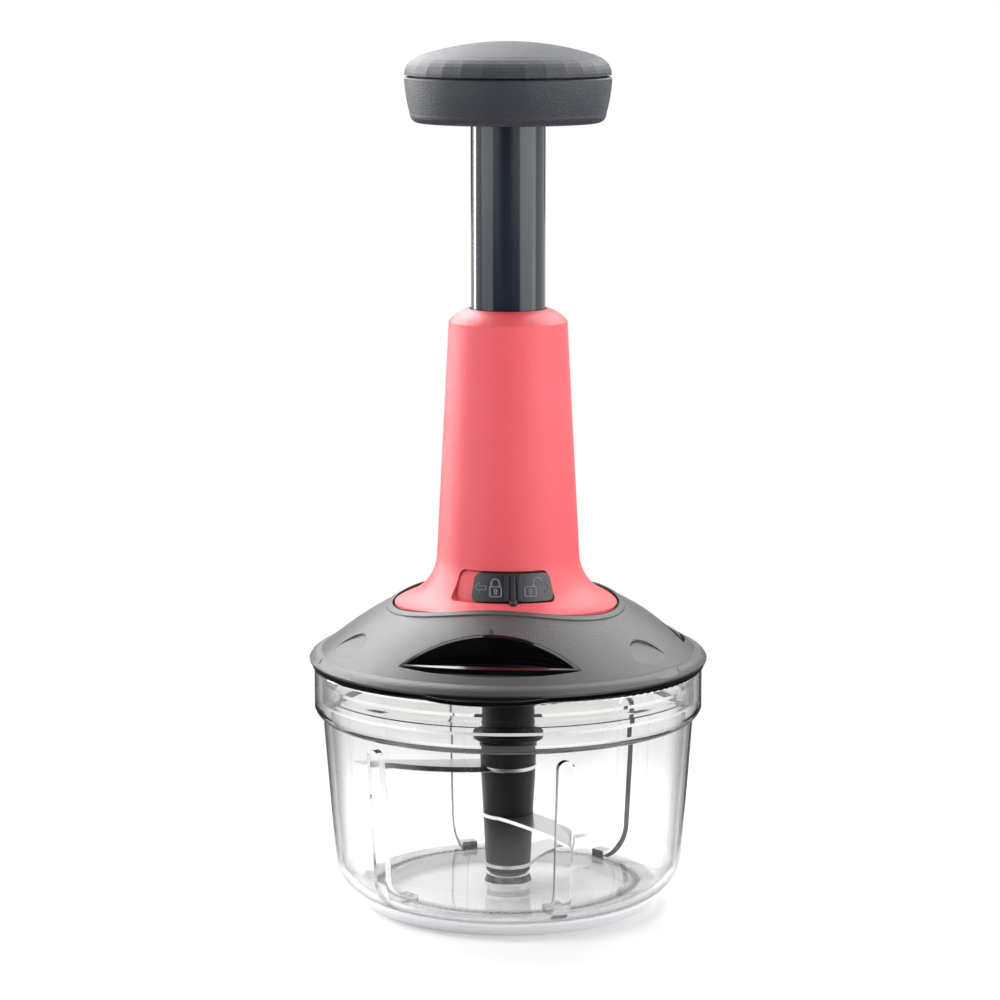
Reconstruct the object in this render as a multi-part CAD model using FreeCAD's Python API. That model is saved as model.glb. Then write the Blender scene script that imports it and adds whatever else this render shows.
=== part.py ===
import FreeCAD, Part
import math
import os

# Push-down food chopper: a clear bowl with a spinning blade unit, a domed lid with a tower, and a
# sprung plunger whose nut drives a twisted steel spindle. Millimetres, +Z up, origin on the table
# under the middle of the bowl. The front of the object faces -Y. An azimuth is counted in degrees
# from the front towards +X.

V = FreeCAD.Vector
UP = V(0, 0, 1)

# ---- fits and gaps
RUNNING_FIT = 0.06          # radial gap of a journal that turns in its bearing
SLIDING_FIT = 0.08          # radial gap of the plunger in its guides
FACE_GAP = 0.3              # gap between two parts that move past each other
SEAM_GAP = 0.1              # hairline between two fixed mouldings

# ---- anti-slip ring under the bowl
RING_HEIGHT = 3.6
RING_OVERHANG = 2.2         # outside of its foot beyond the start of the bowl's corner
RING_FLARE = 3.1            # its upper edge stands this much further out
RING_WIDTH = 7.4            # width of the face that stands on the table
RING_LIP = 0.9              # how far its upper lip climbs the bowl
FOOT_RIB_INSET = 2.2        # from the ring's inner edge to the rib
FOOT_RIB_WIDTH = 2.4        # rib under the bowl that the ring is pressed on
FOOT_RIB_DEPTH = 2.0

# ---- bowl
BOWL_WALL = 2.4
BOWL_R = 61.5               # outer radius under the band
BOWL_DRAFT = 3.3            # radius lost from there down to the bottom corner
BOWL_CORNER_R = 13.0
BOWL_BODY_HEIGHT = 59.4     # from the underside to the step under the band
BAND_PROUD = 2.8            # the band at the rim stands out of the body
BAND_STEP = 3.4             # height of the rounded step up to the band
BAND_HEIGHT = 13.5
LEDGE_RISE = 3.8            # inner ledge above the top of the outer step
LEDGE_SLOPE = 1.4           # height over which the inner ledge slopes
RIM_EDGE_R = 0.6            # rounding of the bowl's rim
RIB_AZIMUTHS = (-40.0, 25.0, 140.0, 205.0)
RIB_WIDTH = 5.4
RIB_DEPTH = 2.5
RIB_TOP = 56.1              # top of the ribs above the underside of the bowl
PIN_BOSS_R = 7.0
PIN_BOSS_HEIGHT = 2.4
PIN_R = 3.0
PIN_LENGTH = 20.0
PIN_SEAT = 3.4              # how deep the pin sits in the bowl
PIN_END_GAP = 0.5           # free height above the pin

# ---- blade unit
BLADE_UNIT_PLAY = 0.2       # over the boss in the bowl
CORE_WALL = 2.0             # round the pin
COLLAR_TOP_R = 9.6
COLLAR_TAPER = 0.05         # radius lost per millimetre of height
COLLAR_EDGE = 0.4           # bevel of a collar's edges
BLADE_THICKNESS = 1.2
BLADE_RING_PROUD = 0.3      # the blade's ring stands out of the collars
BLADE_WALL_GAP = 2.4        # from a blade's tip to the ribs
BLADE_AZIMUTHS = (157.0, 37.0, -83.0)
COLLAR_HEIGHTS = (15.8, 15.3, 7.9)
BLADE_WIDTH = 13.0
BLADE_BEVEL = 2.6           # width of the ground edge
BLADE_EDGE = 0.96           # height of the ground edge
DRIVE_FLANGE_PROUD = 2.9    # the drive flange stands out of the hub
DRIVE_FLANGE_HEIGHT = 3.0
DRIVE_FLANGE_UNDERCUT = 1.2
HEX_ACROSS = 10.8
HEX_HEIGHT = 12.5
FOOT_CAP_FLOOR = 2.6
FOOT_CAP_HEIGHT = 2.8
FOOT_CAP_EDGE = 1.2

# ---- drive hub and spindle
HUB_R = 8.8
HUB_SHOULDER_WIDTH = 2.8    # the journal is this much thinner than the hub
HUB_SOCKET_SPARE = 0.6      # free height above the hexagon
CLIP_HEIGHT = 1.0
CLIP_WIDTH = 3.2
CLIP_GROOVE_DEPTH = 0.8
JOURNAL_END = 0.5           # journal above the clip
JOURNAL_END_INSET = 0.3
SHANK_R = 3.0
SHANK_LENGTH = 21.0
STRIP_WIDTH = 9.0
STRIP_THICKNESS = 2.0
TWIST_LEAD = 38.0           # height of one full turn of the strip
STRIP_SPARE = 0.5           # strip above the nut with the plunger up
TENON_R = 2.2
TENON_HEIGHT = 4.8          # through the spring seat
SPRING_SEAT_GAP = 0.6       # between the spring seat and the tube round it
SPRING_SEAT_HEIGHT = 2.4
SPRING_COLLAR_GAP = 0.3     # from the seat's collar to the wire
THRUST_WASHER_HEIGHT = 0.8

# ---- lid
LID_GAP = 0.45              # dark line between the bowl's rim and the lid
LID_FLANGE_PROUD = 0.7      # beyond the bowl's band
LID_FLANGE_HEIGHT = 1.5
LID_RIM_PROUD = 1.6
LID_RIM_RISE = 2.3          # widest place of the rim above the lid's underside
LID_RIM_WIDTH = 4.0         # sloping rim outside the crease
LID_CREASE_RISE = 4.95
LID_SHOULDER_RISE = 24.6
LID_BULGE = 1.6             # how far the cone is domed in its middle
COVER_WALL = 2.6
BASE_WALL = 2.0
ROOF_DROP = 6.95            # flat roof of the lid base below the shoulder
SEAL_DEPTH = 8.8            # the clear seal hangs this deep inside the bowl's band
SEAL_WALL = 2.0
SEAL_LIP_HEIGHT = 3.0
SEAL_LIP_RISE = 1.6         # lip above the seal's lower edge
SEAL_TONGUE_WALL = 1.0      # upper edge of the seal, pressed into the lid base
SEAL_TONGUE_HEIGHT = 1.2
TAB_REACH = 5.9             # lift tab beyond the flange
TAB_HALF_WIDTH = 20.2
NOTCH_MARGIN = 3.5          # from the finger notch's outer edge to the crease
NOTCH_TIP_HALF = 27.3       # half the distance between its tips
NOTCH_OUTER_BOW = 8.0       # its outer edge bows out of the line between its tips
NOTCH_LIP_BOW = 4.6         # the hollow side of its glossy lip bows out less
NOTCH_CREST_BOW = 5.9       # the far side of the lip's crest
NOTCH_CREST_EDGE = 0.5      # crest carried round the tips
NOTCH_CREST_SLOPE = 0.36    # the crest leans out, flatter than the lid
NOTCH_FLUSH_R = 57.4        # where the crest meets the lid's surface
NOTCH_GROOVE_DEPTH = 2.0    # of the groove in front of the crest
NOTCH_INNER_BOW = 5.2       # its upright wall bows in
NOTCH_DEPTH = 9.0           # of its floor under the lid at the upright wall
NOTCH_LIP_DEPTH = 3.0       # of its floor under the lip
NOTCH_RIM = 1.0             # glossy rim round the notch
NOTCH_FLOOR = 1.8
NOTCH_COUNT = 3
DIMPLE_MARGIN = 1.9         # from a thumb dimple's shallow end to the crease
DIMPLE_LENGTH = 9.0
DIMPLE_R = 8.0
DIMPLE_DEPTH = 1.0
BEARING_WALL = 2.44
BEARING_LENGTH = 7.5
BEARING_FLANGE_PROUD = 2.5
BEARING_FLANGE_HEIGHT = 1.3
BEARING_BOSS_WALL = 2.6

# ---- tower
TOWER_HOLE_GAP = 0.4        # round the plunger tube
TOWER_MOUTH = 0.7           # flat ring round the hole
TOWER_SLEEVE_GAP = 0.12     # between the tower's top and the sleeve in it
TOWER_SHOULDER_DROP = 4.2
TOWER_SHOULDER_BULGE = 1.0  # how far its shoulder is rounded out
TOWER_TAPER = 4.0           # radius gained from the shoulder down to the waist
TOWER_WAIST_RISE = 19.6     # where the flare begins, above the roof
TOWER_WALL = 2.6
FLARE_SPARE = 0.4           # the flare runs out this far beyond the lobes
SKIRT_SPREAD = 12.3         # mean radius of the three-lobed skirt beyond the waist
SKIRT_LOBE = 2.8
SKIRT_SEAT = 2.0            # width of lid under the skirt where the skirt is narrowest
SKIRT_GROOVE_WIDTH = 0.8
SKIRT_GROOVE_FLOOR = 1.0    # cover left under the groove
COLLAR_WIDTH = 1.9          # raised edge of the lid cover outside the groove
COLLAR_HEIGHT = 0.4

# ---- plunger
TUBE_R = 12.2
TUBE_WALL = 1.8
TUBE_END_WALL = 3.5
STROKE = 57.0
KNOB_STOP_GAP = 3.4         # knob to tower with the plunger down
NUT_FLANGE_LIP = 2.2        # the nut's flange beyond the tube
NUT_FLANGE_HEIGHT = 5.0
NUT_BODY_HEIGHT = 7.0
NUT_FLOOR_GAP = 6.0         # nut to the lid's roof with the plunger down
NUT_SLOT_FIT = 0.1
KEY_WIDTH = 4.0
KEY_HEIGHT = 1.2
KEY_FIT = 0.15
NUT_NOTCH_SIDE_ANGLE = 2.5  # room beside the open lock's tongue in the nut's flange
NUT_PIN_R = 1.0
NUT_PIN_INSET = 0.1         # its end below the tube's surface
NUT_PIN_ROOT = 1.5          # from the strip's slot to the pin
KNOB_R = 33.75
KNOB_DRAFT = 1.8            # its foot is narrower by this
KNOB_BELLY = 0.3            # bulge of its side
KNOB_RIM_EDGE = 0.5
KNOB_CUP_HEIGHT = 14.8
KNOB_EDGE_R = 3.0
KNOB_WALL = 2.6
KNOB_INNER_CORNER = 1.5
KNOB_SEAM = 0.6
CAP_HEIGHT = 10.8
CAP_INSET = 0.1
CAP_FACETS = 30
CAP_FACET_AZIMUTH = 4.05    # one edge between two facets
CAP_WALL = 2.4
# the cap's faceted side: shares of its base radius and of its height, and how round the facets are
CAP_SIDE = ((1.0, 0.0, 0.0), (1.0, 0.10, 0.0), (0.991, 0.20, 0.0), (0.973, 0.31, 0.0),
            (0.945, 0.41, 0.1), (0.900, 0.51, 0.5), (0.825, 0.61, 1.0))
CAP_LIP = 1.0               # straight start of its hollow
CAP_SPIGOT_HEIGHT = 3.0
CAP_SPIGOT_WALL = 1.8

# ---- guides in the tower
SLEEVE_WALL = 2.3
SLEEVE_FLANGE_HEIGHT = 2.0
BUSH_LENGTH = 24.2
BUSH_SEAT = 4.0             # solid wall at the top of the sleeve, above the key grooves
BUSH_FLANGE_INSET = 0.4
BUSH_FLANGE_HEIGHT = 1.8
SLEEVE_TOP_DROP = 7.8       # top of the sleeve below the tower's top

# ---- return spring
SPRING_INSET = 1.2          # middle of the wire inside the seat's edge
SPRING_WIRE_R = 0.65
SPRING_TURNS = 9

# ---- lock
WINDOW_AZIMUTH = 2.5
WINDOW_HALF_ANGLE = 37.0
WINDOW_HEIGHT = 9.6
WINDOW_UNDER_TONGUE = 4.3   # lower edge of the window under the lock's tongue
SLIDER_HALF_ANGLE = 28.3
SLIDER_END_ANGLE = 1.2      # play left at each end of the window
SLIDER_STAND = 1.5          # upper edge of its face beyond the tower's waist
SLIDER_SLOPE = 0.41         # the face leans out towards its foot
SLIDER_THICKNESS = 2.1
SLIDER_PLAY = 0.45          # above and below the slider in its window
SLIDER_CORNER_R = 2.0
SLIDER_RIDGE = 0.7          # height of the three grip ridges
SLIDER_RIDGE_PITCH = 4.6    # degrees between them
SLIDER_RIDGE_HALF_ANGLE = 1.3
SLIDER_RIDGE_INSET = 0.5    # from the slider's upper and lower edge
PAD_WALL = 1.6
PAD_MARGIN = 1.2            # pad above and below the window
PAD_SIDE_ANGLE = 4.0
TONGUE_HEIGHT = 2.5
TONGUE_HALF_ANGLE = 9.0
TONGUE_SIDE_ANGLE = 1.5     # room beside the tongue at the ends of its swing
TONGUE_GAP = 0.7            # between the tongue and the plunger tube
TONGUE_PLAY = 0.6           # over the nut's flange with the plunger down
RETAINER_THICKNESS = 1.8
RETAINER_OVERLAP = 1.6
RETAINER_SIDE_ANGLE = 5.0

# ---- screws
SCREW_R = 1.5
SCREW_HEAD_R = 2.8
SCREW_HEAD_HEIGHT = 1.9
TOWER_BOSS_INSET = 1.1      # from the shoulder of the lid to a screw boss
TOWER_BOSS_R = 3.3
TOWER_BOSS_HEIGHT = 6.0
KNOB_SCREW_R = 1.8
KNOB_SCREW_HEAD_R = 3.4
SCREW_BITE = 5.0            # thread in the piece it holds
SCREW_BOSS_WALL = 2.0

# ---- radii worked out from the sizes
BOWL_FOOT_R = BOWL_R - BOWL_DRAFT
BAND_R = BOWL_R + BAND_PROUD
RING_FOOT_R = BOWL_FOOT_R - BOWL_CORNER_R + RING_OVERHANG
RING_TOP_R = RING_FOOT_R + RING_FLARE
CORE_R = PIN_R + CORE_WALL
DRIVE_FLANGE_R = HUB_R + DRIVE_FLANGE_PROUD
HUB_JOURNAL_R = HUB_R - HUB_SHOULDER_WIDTH
CLIP_GROOVE_R = HUB_JOURNAL_R - CLIP_GROOVE_DEPTH
CLIP_R = CLIP_GROOVE_R + CLIP_WIDTH
BEARING_R = HUB_JOURNAL_R + RUNNING_FIT + BEARING_WALL
BEARING_FLANGE_R = BEARING_R + BEARING_FLANGE_PROUD
TUBE_BORE_R = TUBE_R - TUBE_WALL
SPRING_SEAT_R = TUBE_BORE_R - SPRING_SEAT_GAP
SPRING_R = SPRING_SEAT_R - SPRING_INSET
SPRING_COLLAR_R = SPRING_R - SPRING_WIRE_R - SPRING_COLLAR_GAP
NUT_FLANGE_R = TUBE_R + NUT_FLANGE_LIP
SLEEVE_BORE_R = NUT_FLANGE_R + SLIDING_FIT
SLEEVE_R = SLEEVE_BORE_R + SLEEVE_WALL
SLEEVE_SCREW_CIRCLE = SLEEVE_R + SCREW_HEAD_R + FACE_GAP
SLEEVE_FLANGE_R = SLEEVE_SCREW_CIRCLE + SCREW_HEAD_R + FACE_GAP
BUSH_FLANGE_R = SLEEVE_R - BUSH_FLANGE_INSET
TOWER_HOLE_R = TUBE_R + TOWER_HOLE_GAP
TOWER_MOUTH_R = TOWER_HOLE_R + TOWER_MOUTH
TOWER_SHOULDER_R = SLEEVE_R + TOWER_SLEEVE_GAP + TOWER_WALL
TOWER_WAIST_R = TOWER_SHOULDER_R + TOWER_TAPER
SKIRT_MEAN_R = TOWER_WAIST_R + SKIRT_SPREAD
TOWER_FLARE_R = SKIRT_SPREAD + SKIRT_LOBE + FLARE_SPARE
LID_FLANGE_R = BAND_R + LID_FLANGE_PROUD
LID_RIM_R = BAND_R + LID_RIM_PROUD
LID_CREASE_R = LID_RIM_R - LID_RIM_WIDTH
LID_SHOULDER_R = SKIRT_MEAN_R - SKIRT_LOBE - SKIRT_SEAT
SEAL_R = BAND_R - BOWL_WALL - 2 * FACE_GAP
SEAL_INNER_R = SEAL_R - SEAL_WALL
SEAL_LIP_R = SEAL_R + FACE_GAP
SEAL_TONGUE_R = SEAL_INNER_R + (SEAL_WALL - SEAL_TONGUE_WALL) / 2
SKIRT_GROOVE_DEPTH = COVER_WALL - SKIRT_GROOVE_FLOOR
TOWER_SCREW_CIRCLE = LID_SHOULDER_R - TOWER_BOSS_INSET - TOWER_BOSS_R
NOTCH_OUTER_R = LID_CREASE_R - NOTCH_MARGIN
NOTCH_TIP_DEPTH = NOTCH_OUTER_R - NOTCH_OUTER_BOW
NOTCH_INNER_R = NOTCH_TIP_DEPTH - NOTCH_INNER_BOW
NOTCH_LIP_R = NOTCH_TIP_DEPTH + NOTCH_LIP_BOW
BETWEEN_NOTCHES = 180.0 / NOTCH_COUNT
DIMPLE_OUTER_R = LID_CREASE_R - DIMPLE_MARGIN
DIMPLE_INNER_R = DIMPLE_OUTER_R - DIMPLE_LENGTH
KNOB_FOOT_R = KNOB_R - KNOB_DRAFT
CAP_BASE_R = KNOB_R - CAP_INSET
SLIDER_TOP_R = TOWER_WAIST_R + SLIDER_STAND
PAD_R = SLIDER_TOP_R - SLIDER_THICKNESS - FACE_GAP - PAD_WALL
TONGUE_INNER_R = TUBE_R + TONGUE_GAP

# ---- levels worked out from the sizes
BOWL_BOTTOM = RING_HEIGHT
BOWL_FLOOR = BOWL_BOTTOM + BOWL_WALL
STEP_BOTTOM = BOWL_BOTTOM + BOWL_BODY_HEIGHT
BAND_BOTTOM = STEP_BOTTOM + BAND_STEP
BOWL_TOP = BAND_BOTTOM + BAND_HEIGHT
LEDGE_Z = BAND_BOTTOM + LEDGE_RISE
BOSS_TOP = BOWL_FLOOR + PIN_BOSS_HEIGHT
PIN_BOTTOM = BOSS_TOP - PIN_SEAT
BLADE_UNIT_Z = BOSS_TOP + BLADE_UNIT_PLAY
CORE_BOTTOM = BLADE_UNIT_Z + FOOT_CAP_FLOOR
BLADE_LOWS = [BLADE_UNIT_Z + FOOT_CAP_HEIGHT + sum(COLLAR_HEIGHTS[:i]) + i * BLADE_THICKNESS
              for i in range(len(COLLAR_HEIGHTS))]
DRIVE_FLANGE_Z = BLADE_LOWS[-1] + BLADE_THICKNESS + COLLAR_HEIGHTS[-1]
LID_BOTTOM = BOWL_TOP + LID_GAP
CREASE_Z = LID_BOTTOM + LID_CREASE_RISE
SHOULDER_Z = LID_BOTTOM + LID_SHOULDER_RISE
ROOF_Z = SHOULDER_Z - ROOF_DROP
BASE_DROP = COVER_WALL + SEAM_GAP
SEAL_Z = LID_BOTTOM - SEAL_DEPTH
BEARING_TOP = ROOF_Z + BEARING_FLANGE_HEIGHT
CLIP_Z = BEARING_TOP + RUNNING_FIT
HUB_TOP = CLIP_Z + CLIP_HEIGHT + JOURNAL_END
HUB_SHOULDER = ROOF_Z - BEARING_LENGTH - RUNNING_FIT
HUB_BOTTOM = DRIVE_FLANGE_Z + DRIVE_FLANGE_HEIGHT + FACE_GAP
NUT_DOWN_Z = ROOF_Z + NUT_FLOOR_GAP
NUT_Z = NUT_DOWN_Z + STROKE
TUBE_BOTTOM = NUT_Z + NUT_FLANGE_HEIGHT
NUT_TOP = TUBE_BOTTOM + NUT_BODY_HEIGHT
SLEEVE_TOP = TUBE_BOTTOM + FACE_GAP + BUSH_LENGTH
TOWER_TOP = SLEEVE_TOP + SLEEVE_TOP_DROP
KNOB_Z = TOWER_TOP + STROKE + KNOB_STOP_GAP
SEAM_Z = KNOB_Z + KNOB_CUP_HEIGHT
CAP_Z = SEAM_Z + KNOB_SEAM
STRIP_BOTTOM = HUB_TOP
STRIP_TOP = NUT_TOP + STRIP_SPARE
SEAT_TOP = STRIP_TOP + SPRING_SEAT_HEIGHT
SPRING_BOTTOM = SEAT_TOP + THRUST_WASHER_HEIGHT
SPRING_TOP = KNOB_Z - TUBE_END_WALL
TONGUE_Z = NUT_DOWN_Z + NUT_FLANGE_HEIGHT + TONGUE_PLAY
TONGUE_TOP = TONGUE_Z + TONGUE_HEIGHT
WINDOW_Z = TONGUE_Z - WINDOW_UNDER_TONGUE
WINDOW_TOP = WINDOW_Z + WINDOW_HEIGHT
LOCK_SWING = 2 * (WINDOW_HALF_ANGLE - SLIDER_HALF_ANGLE - SLIDER_END_ANGLE)
SLIDER_AZIMUTH = WINDOW_AZIMUTH + LOCK_SWING / 2


# ---- helpers
def rz(point):
    """A point of a turning profile: radius along X, height along Z."""
    return V(point[0], 0, point[1])


def profile_face(start, *steps):
    """Closed profile. A step is (r, z) for a straight run or ((r, z), (r, z)) for an arc
    through the first point to the second. The last run closes the profile."""
    edges = []
    here = rz(start)
    for step in steps:
        if isinstance(step[0], tuple):
            end = rz(step[1])
            edges.append(Part.Arc(here, rz(step[0]), end).toShape())
        else:
            end = rz(step)
            edges.append(Part.makeLine(here, end))
        here = end
    if here.distanceToPoint(rz(start)) > 1e-6:
        edges.append(Part.makeLine(here, rz(start)))
    return Part.Face(Part.Wire(edges))


def turned(start, *steps):
    """Solid of revolution about Z."""
    return profile_face(start, *steps).revolve(V(0, 0, 0), UP, 360)


def sector(azimuth_from, azimuth_to, start, *steps):
    """The part of a turned solid between two azimuths."""
    face = profile_face(start, *steps)
    face.rotate(V(0, 0, 0), UP, azimuth_from - 90)
    return face.revolve(V(0, 0, 0), UP, azimuth_to - azimuth_from)


def cylinder(radius, z_from, z_to, x=0.0, y=0.0):
    return Part.makeCylinder(radius, z_to - z_from, V(x, y, z_from))


def ring(inner_r, outer_r, z_from, z_to):
    return cylinder(outer_r, z_from, z_to).cut(cylinder(inner_r, z_from - 1, z_to + 1))


def at_azimuth(shape, azimuth):
    """Turn a shape made at the front (-Y) to an azimuth."""
    turned_shape = shape.copy()
    turned_shape.rotate(V(0, 0, 0), UP, azimuth)
    return turned_shape


def round_about(shape, count, first=0.0):
    return [at_azimuth(shape, first + step * 360.0 / count) for step in range(count)]


def hexagon(across, z_from, z_to):
    corner_r = across / math.sqrt(3)
    angles = [math.radians(60 * i) for i in range(7)]
    points = [V(corner_r * math.cos(angle), corner_r * math.sin(angle), z_from) for angle in angles]
    return Part.Face(Part.makePolygon(points)).extrude(V(0, 0, z_to - z_from))


def screw(radius, head_r, head_height, length):
    """Pan-head screw with a cross recess: its head stands above Z 0 and its shank hangs below."""
    head = cylinder(head_r, 0, head_height)
    rim = [edge for edge in head.Edges if abs(edge.BoundBox.ZMin - head_height) < 1e-6]
    head = head.makeFillet(head_height * 0.45, rim)
    slot_width = head_r * 0.28
    slot_corner = V(-head_r * 0.6, -slot_width / 2, head_height / 2)
    slot = Part.makeBox(head_r * 1.2, slot_width, head_height, slot_corner)
    cross = slot.fuse(at_azimuth(slot, 90))
    return head.cut(cross).fuse(cylinder(radius, -length, 0)).removeSplitter()


def bow(sagitta, half_chord):
    """Radius of the circle with this sagitta over this half chord."""
    return (half_chord ** 2 + sagitta ** 2) / (2 * sagitta)


# ---- the lid's surface
LID_MIDDLE_R = (LID_SHOULDER_R + LID_CREASE_R) / 2
LID_MIDDLE_Z = (SHOULDER_Z + CREASE_Z) / 2 + LID_BULGE


def lid_height(radius):
    """Height of the lid's domed cone at a radius."""
    cone = Part.Arc(rz((LID_SHOULDER_R, SHOULDER_Z)), rz((LID_MIDDLE_R, LID_MIDDLE_Z)),
                    rz((LID_CREASE_R, CREASE_Z))).toShape().Curve
    return cone.Center.z + math.sqrt(cone.Radius ** 2 - (radius - cone.Center.x) ** 2)


def under_lid(drop, low):
    """Everything below the domed cone lowered by drop, down to a level."""
    return turned((0, low), (LID_CREASE_R, low), (LID_CREASE_R, CREASE_Z - drop),
                  ((LID_MIDDLE_R, LID_MIDDLE_Z - drop), (LID_SHOULDER_R, SHOULDER_Z - drop)),
                  (0, SHOULDER_Z - drop))


def skirt_prism(grow, z_from, z_to):
    """Upright prism with the three-lobed outline of the tower's skirt. Lobes stand between notches."""
    points = []
    steps = 72
    for step in range(steps):
        azimuth = 2 * math.pi * step / steps
        radius = SKIRT_MEAN_R + grow - SKIRT_LOBE * math.cos(NOTCH_COUNT * azimuth)
        points.append(V(radius * math.sin(azimuth), -radius * math.cos(azimuth), z_from))
    curve = Part.BSplineCurve()
    curve.interpolate(points, PeriodicFlag=True)
    return Part.Face(Part.Wire([curve.toShape()])).extrude(V(0, 0, z_to - z_from))


# ---- bowl
def bowl_outer_steps(grow=0.0):
    """Outside of the bowl from the middle of its underside to the step, grown inwards by -grow."""
    foot_r = BOWL_FOOT_R + grow
    corner_r = BOWL_CORNER_R + grow
    corner_x = BOWL_FOOT_R - BOWL_CORNER_R
    corner_z = BOWL_BOTTOM + BOWL_CORNER_R
    diagonal = corner_r / math.sqrt(2)
    return [(corner_x, BOWL_BOTTOM - grow),
            ((corner_x + diagonal, corner_z - diagonal), (foot_r, corner_z)),
            (BOWL_R + grow, STEP_BOTTOM)]


def bowl_rib(azimuth):
    """Upright rib on the inner wall, with a round top, running down to the floor."""
    inner = bowl_outer_steps(-BOWL_WALL - RIB_DEPTH)
    band = turned((0, BOWL_BOTTOM), (BOWL_FOOT_R, BOWL_BOTTOM), (BOWL_R - BOWL_WALL / 2, STEP_BOTTOM),
                  (0, STEP_BOTTOM))
    hollow = turned((0, BOWL_BOTTOM + BOWL_WALL + RIB_DEPTH), *inner, (0, STEP_BOTTOM))
    outside = turned((0, BOWL_BOTTOM), *bowl_outer_steps(-BOWL_WALL / 2), (0, STEP_BOTTOM))
    half = RIB_WIDTH / 2
    low = BOWL_FLOOR - BOWL_WALL / 2
    top = BOWL_BOTTOM + RIB_TOP
    shape = Part.Wire([
        Part.makeLine(V(-half, 0, low), V(half, 0, low)),
        Part.makeLine(V(half, 0, low), V(half, 0, top - half)),
        Part.Arc(V(half, 0, top - half), V(0, 0, top), V(-half, 0, top - half)).toShape(),
        Part.makeLine(V(-half, 0, top - half), V(-half, 0, low))])
    slab = Part.Face(shape).extrude(V(0, -BAND_R, 0))
    reach = BOWL_FOOT_R - BOWL_CORNER_R - RIB_DEPTH
    slab = slab.cut(Part.makeBox(2 * RIB_WIDTH, reach, STEP_BOTTOM, V(-RIB_WIDTH, -reach, 0)))
    return at_azimuth(band.common(outside).cut(hollow).common(slab), azimuth)


def reversed_steps(steps, last):
    """The same run as bowl_outer_steps gives, walked from its far end back to last."""
    corner_start, arc, wall_top = steps
    return [wall_top, arc[1], (arc[0], corner_start), last]


def foot_rib(z_top):
    """Ring-shaped rib under the bowl's floor."""
    inner_r = RING_FOOT_R - RING_WIDTH + FOOT_RIB_INSET
    return ring(inner_r, inner_r + FOOT_RIB_WIDTH, BOWL_BOTTOM - FOOT_RIB_DEPTH, z_top)


def make_bowl():
    outer = bowl_outer_steps()
    inner = bowl_outer_steps(-BOWL_WALL)
    inner_band_r = BAND_R - BOWL_WALL
    step_mid = (BAND_R - BAND_PROUD * 0.35, STEP_BOTTOM + BAND_STEP * 0.45)
    round_off = RIM_EDGE_R * (1 - 1 / math.sqrt(2))
    shell = turned((0, BOWL_BOTTOM), *outer,
                   (step_mid, (BAND_R, BAND_BOTTOM)),
                   (BAND_R, BOWL_TOP - RIM_EDGE_R),
                   ((BAND_R - round_off, BOWL_TOP - round_off), (BAND_R - RIM_EDGE_R, BOWL_TOP)),
                   (inner_band_r + RIM_EDGE_R, BOWL_TOP),
                   ((inner_band_r + round_off, BOWL_TOP - round_off), (inner_band_r, BOWL_TOP - RIM_EDGE_R)),
                   (inner_band_r, LEDGE_Z),
                   (BOWL_R - BOWL_WALL, LEDGE_Z - LEDGE_SLOPE),
                   *reversed_steps(inner, (0, BOWL_FLOOR)))
    boss = turned((0, BOWL_FLOOR - 1), (PIN_BOSS_R + 1, BOWL_FLOOR - 1), (PIN_BOSS_R + 1, BOWL_FLOOR),
                  (PIN_BOSS_R, BOSS_TOP), (0, BOSS_TOP))
    shell = shell.fuse([bowl_rib(azimuth) for azimuth in RIB_AZIMUTHS] + [foot_rib(BOWL_FLOOR), boss])
    return shell.cut(cylinder(PIN_R, PIN_BOTTOM, BOSS_TOP + 1)).removeSplitter()


def make_base_ring():
    inner_r = RING_FOOT_R - RING_WIDTH
    lip_z = RING_HEIGHT + RING_LIP
    body = turned((inner_r, 0), (RING_FOOT_R, 0), (RING_TOP_R, RING_HEIGHT), (RING_TOP_R, lip_z),
                  (inner_r, lip_z))
    bowl_body = turned((0, BOWL_BOTTOM), *bowl_outer_steps(), (0, STEP_BOTTOM))
    return body.cut(bowl_body).cut(foot_rib(BOWL_FLOOR))


def make_blade_pin():
    body = cylinder(PIN_R, PIN_BOTTOM, PIN_BOTTOM + PIN_LENGTH)
    top = [edge for edge in body.Edges if abs(edge.BoundBox.ZMin - PIN_BOTTOM - PIN_LENGTH) < 1e-6]
    return body.makeFillet(PIN_R * 0.3, top)


# ---- blade unit
def collar_radius(height):
    return COLLAR_TOP_R - (DRIVE_FLANGE_Z - height) * COLLAR_TAPER


def bowl_inner_radius(height):
    """Radius of the bowl's inner wall at a height above its floor."""
    corner_z = BOWL_BOTTOM + BOWL_CORNER_R
    if height < corner_z:
        corner_r = BOWL_CORNER_R - BOWL_WALL
        return BOWL_FOOT_R - BOWL_CORNER_R + math.sqrt(corner_r ** 2 - (corner_z - height) ** 2)
    return BOWL_FOOT_R - BOWL_WALL + BOWL_DRAFT * (height - corner_z) / (STEP_BOTTOM - corner_z)


def make_blade_shaft():
    core = cylinder(CORE_R, CORE_BOTTOM, DRIVE_FLANGE_Z)
    flange_top = DRIVE_FLANGE_Z + DRIVE_FLANGE_HEIGHT
    flange = turned((0, DRIVE_FLANGE_Z), (collar_radius(DRIVE_FLANGE_Z), DRIVE_FLANGE_Z),
                    (DRIVE_FLANGE_R, DRIVE_FLANGE_Z + DRIVE_FLANGE_UNDERCUT), (DRIVE_FLANGE_R, flange_top),
                    (0, flange_top))
    spigot = hexagon(HEX_ACROSS, flange_top, flange_top + HEX_HEIGHT)
    bore = cylinder(PIN_R + RUNNING_FIT, CORE_BOTTOM - 1, PIN_BOTTOM + PIN_LENGTH + PIN_END_GAP)
    return core.fuse(flange).fuse(spigot).cut(bore).removeSplitter()


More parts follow.
